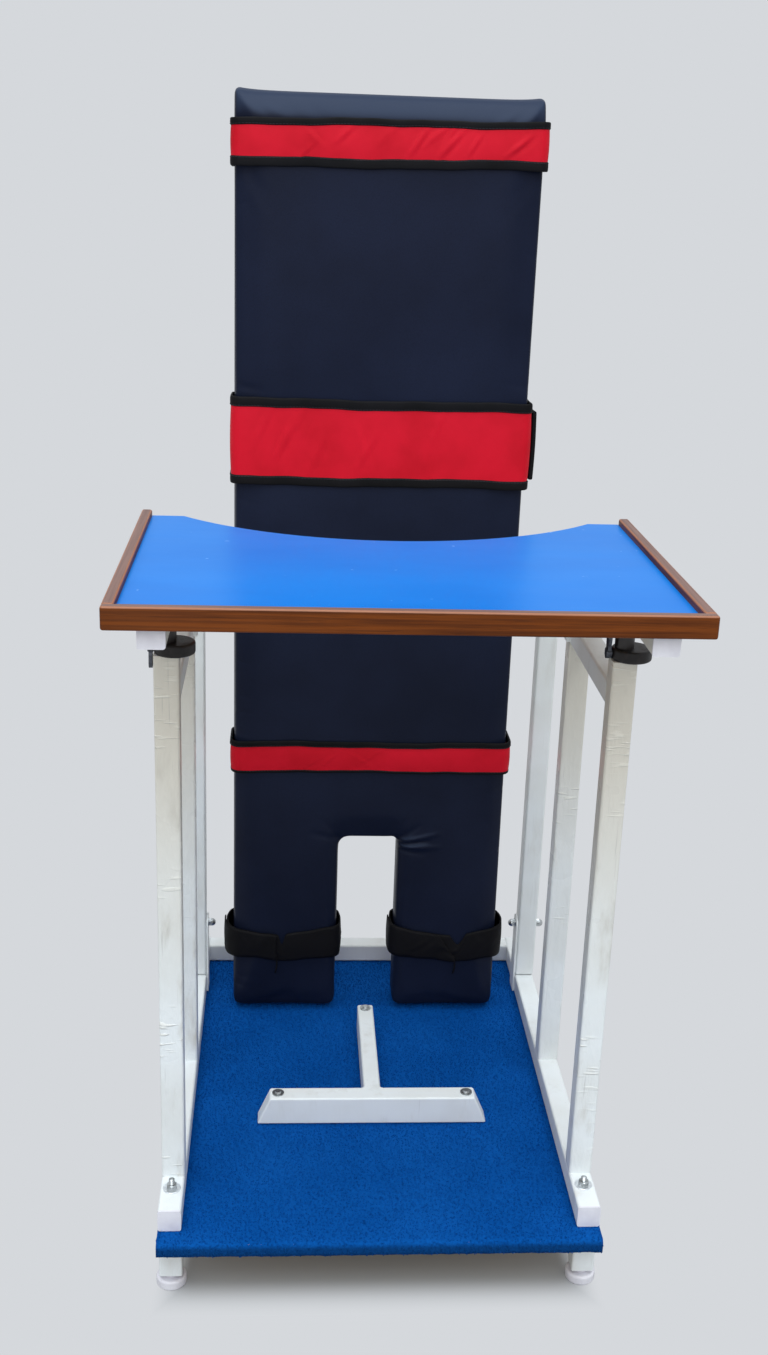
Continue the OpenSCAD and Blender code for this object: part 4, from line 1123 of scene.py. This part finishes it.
def ankle_strap(side, node, seed, notch_at, notch_half, lap_end, lap_taper, notch_deep=0.020):
    """A band round one leg that sags to a notch at the front, with a flap lapped over from the left."""
    low, high = corners(node)
    x_low, x_high = sorted((side * (GAP_HALF - STRAP_SIDE), side * (HALF_W + STRAP_SIDE)))
    path = ring_path(x_low, x_high, STRAP_FRONT, STRAP_BACK, 0.012)
    spots, out, run = path
    u = (spots[:, 0] - x_low) / (x_high - x_low)
    front = np.clip(-out[:, 1], 0, 1)
    beside = np.clip((PLY_HIGH[1] - spots[:, 1]) / (PLY_HIGH[1] - STRAP_FRONT), 0, 1)
    outer_slack, inner_slack = 0.0075, 0.004
    slack = np.where((u < 0.5) == (side < 0), outer_slack, inner_slack)
    lift = TAPE_LIFT + slack * np.sin(np.pi * beside) * np.abs(out[:, 0])
    sag = tent(u, notch_at) * front
    notch = np.clip(1 - np.abs(u - notch_at - notch_half) / notch_half, 0, 1) * front
    low_sag, high_sag, wander = 0.010, 0.016, 0.0014
    low_edge = low[2] + 0.004 - low_sag * sag + edge_drift(run, seed, wander)
    high_edge = high[2] - 0.001 - high_sag * sag + edge_drift(run, seed + 1, wander)
    ring, flat = band(node + "_ring", path, low_edge, high_edge - notch_deep * notch ** 0.7, lift,
                      black_webbing, seed, pulls=10, bulge=0.0012, thick=0.0026, rows=13)
    seat(ring, "back", "black_webbing", node)
    keep = np.nonzero(((out[:, 0] < -0.9) & (beside > 0.35)) | ((out[:, 1] < -0.01) & (u < lap_end)))[0]
    lap_path = (spots[keep], out[keep], run[keep] - run[keep[0]])
    curl_from, lap_lift, curl_lift, tip = 0.06, 0.0034, 0.003, 0.004
    over, curl = (np.clip((u[keep] - lap_end + span) / span, 0, 1) * front[keep]
                  for span in (lap_taper, curl_from))
    lap_low = low_edge[keep] + 0.002
    lap_high = high_edge[keep] + 0.001 - (high_edge[keep] - lap_low - tip) * over * (lap_taper > 0.1)
    lap, lap_flat = band(node + "_lap", lap_path, lap_low, lap_high,
                         lift[keep] + lap_lift + curl_lift * curl ** 2,
                         black_webbing, seed + 5, pulls=6, bulge=0.001, thick=0.0022, rows=11)
    seat(lap, "back", "black_webbing")
    end = lap_path[0][-1]
    ankle_tail(node + "_tail", end[0] - 0.002, end[1] - 0.0075, lap_low[-1] + 0.012)
    print(node, "ring and lap flat sizes", [round(f, 3) for f in flat + lap_flat])


ankle_strap(-1, "left_ankle_strap", seed=81, notch_at=0.44, notch_half=0.035, lap_end=0.44, lap_taper=0.05)
ankle_strap(1, "right_ankle_strap", seed=95, notch_at=0.55, notch_half=0.070, lap_end=0.60, lap_taper=0.17)


# %% Waist strap tab
def end_tab():
    low, high = corners("waist_tab")
    rows, cols = 15, 9
    out, belly, loose, thick, edge = 0.0037, 0.0012, 0.0022, 0.0072, 0.0026
    points = []
    for t in np.linspace(0, 1, rows):
        for s in np.linspace(0, 1, cols):
            lift = belly * math.sin(math.pi * t) + loose * (1 - s) ** 3
            points.append((low[0] + out + lift, *(low + (high - low) * (0, s, t))[1:]))
    tab = new_piece("waist_tab_hook", points, grid_faces(rows, cols), black_webbing)
    set_uv(tab.data, *np.array(points).T[1:])
    thicken(tab, thick)
    modify(tab, "BEVEL", width=edge, segments=4)
    seat(bake(tab), "back", "black_webbing", "waist_tab")
    print("tab faces", len(tab.data.polygons))


end_tab()


# %% [markdown]
# ## Light and floor
# Plain soft light: an even sky, a wide lamp high overhead that makes the level tops the brightest,
# and a soft one in front that fills the upright faces. The floor and the far background share one
# pale grey. The sky shows that grey only to the camera and in reflections, so it doesn't tint the
# light.

# %% Light and floor
BACKGROUND = rgb(213, 216, 220)


def cleared(owner):
    """The empty network of a world or a material."""
    owner.use_nodes = True
    owner.node_tree.nodes.clear()
    return Nodes(owner.node_tree)


def seen_directly(nodes):
    """1 for what the camera sees, also in a reflection or through glass, and 0 for light that bounces."""
    path = nodes.add("ShaderNodeLightPath").outputs
    reflected = nodes.sums("MAXIMUM", path["Is Glossy Ray"], path["Is Transmission Ray"])
    return nodes.sums("MAXIMUM", path["Is Camera Ray"], reflected)


def end_in(nodes, output, share, first, second):
    mix = nodes.add("ShaderNodeMixShader", {0: share, 1: first.outputs[0], 2: second.outputs[0]})
    nodes.add(output, {0: mix.outputs[0]})


def make_world():
    scene.world = bpy.data.worlds.new("studio")
    nodes = cleared(scene.world)
    sky = nodes.add("ShaderNodeBackground", {"Color": (1, 1, 1, 1), "Strength": 0.62})
    shown = nodes.add("ShaderNodeBackground", {"Color": BACKGROUND, "Strength": 1.0})
    end_in(nodes, "ShaderNodeOutputWorld", seen_directly(nodes), sky, shown)


def soft_lamp(name, place, target, size, power, tint):
    data = set_all(bpy.data.lights.new(name, "AREA"), shape="DISK", size=size, energy=power, color=tint)
    aim = (Vector(target) - Vector(place)).to_track_quat("-Z", "Y")
    set_all(link(name, data), location=place, rotation_euler=aim.to_euler())


def make_floor():
    """Under the base the floor takes shadow; further out it is the plain background colour."""
    finish = bpy.data.materials.new("studio_floor")
    nodes = cleared(finish)
    half_width, half_depth, middle, span = 0.31, 0.41, 0.05, 30.0
    x, y = nodes.split(nodes.add("ShaderNodeTexCoord").outputs["Object"])[:2]
    aside, along = (nodes.sums("DIVIDE", nodes.sums("ABSOLUTE", off), half)
                    for off, half in ((x, half_width), (nodes.sums("SUBTRACT", y, middle), half_depth)))
    fade = nodes.ramp(nodes.sums("MAXIMUM", aside, along), 0.84, 1.02)
    plain = nodes.add("ShaderNodeEmission", {"Color": BACKGROUND, "Strength": 1.0})
    ground = nodes.add("ShaderNodeBsdfDiffuse", {"Color": rgb(166, 169, 172)})
    share = nodes.sums("MULTIPLY", seen_directly(nodes), fade)
    end_in(nodes, "ShaderNodeOutputMaterial", share, ground, plain)
    points = [(-span, -span, 0), (span, -span, 0), (span, span, 0), (-span, span, 0)]
    floor = new_piece("studio_floor", points, [(0, 1, 2, 3)], finish)


make_world()
soft_lamp("front", (-0.2, -3.8, 2.6), (0, 0, 0.8), size=3.0, power=40, tint=(1.0, 0.99, 0.97))
soft_lamp("overhead", (0.0, -2.2, 7.0), (0, -0.2, 0.3), size=8.0, power=570, tint=(0.88, 0.95, 1.0))
make_floor()
print("lamps", len(bpy.data.lights))
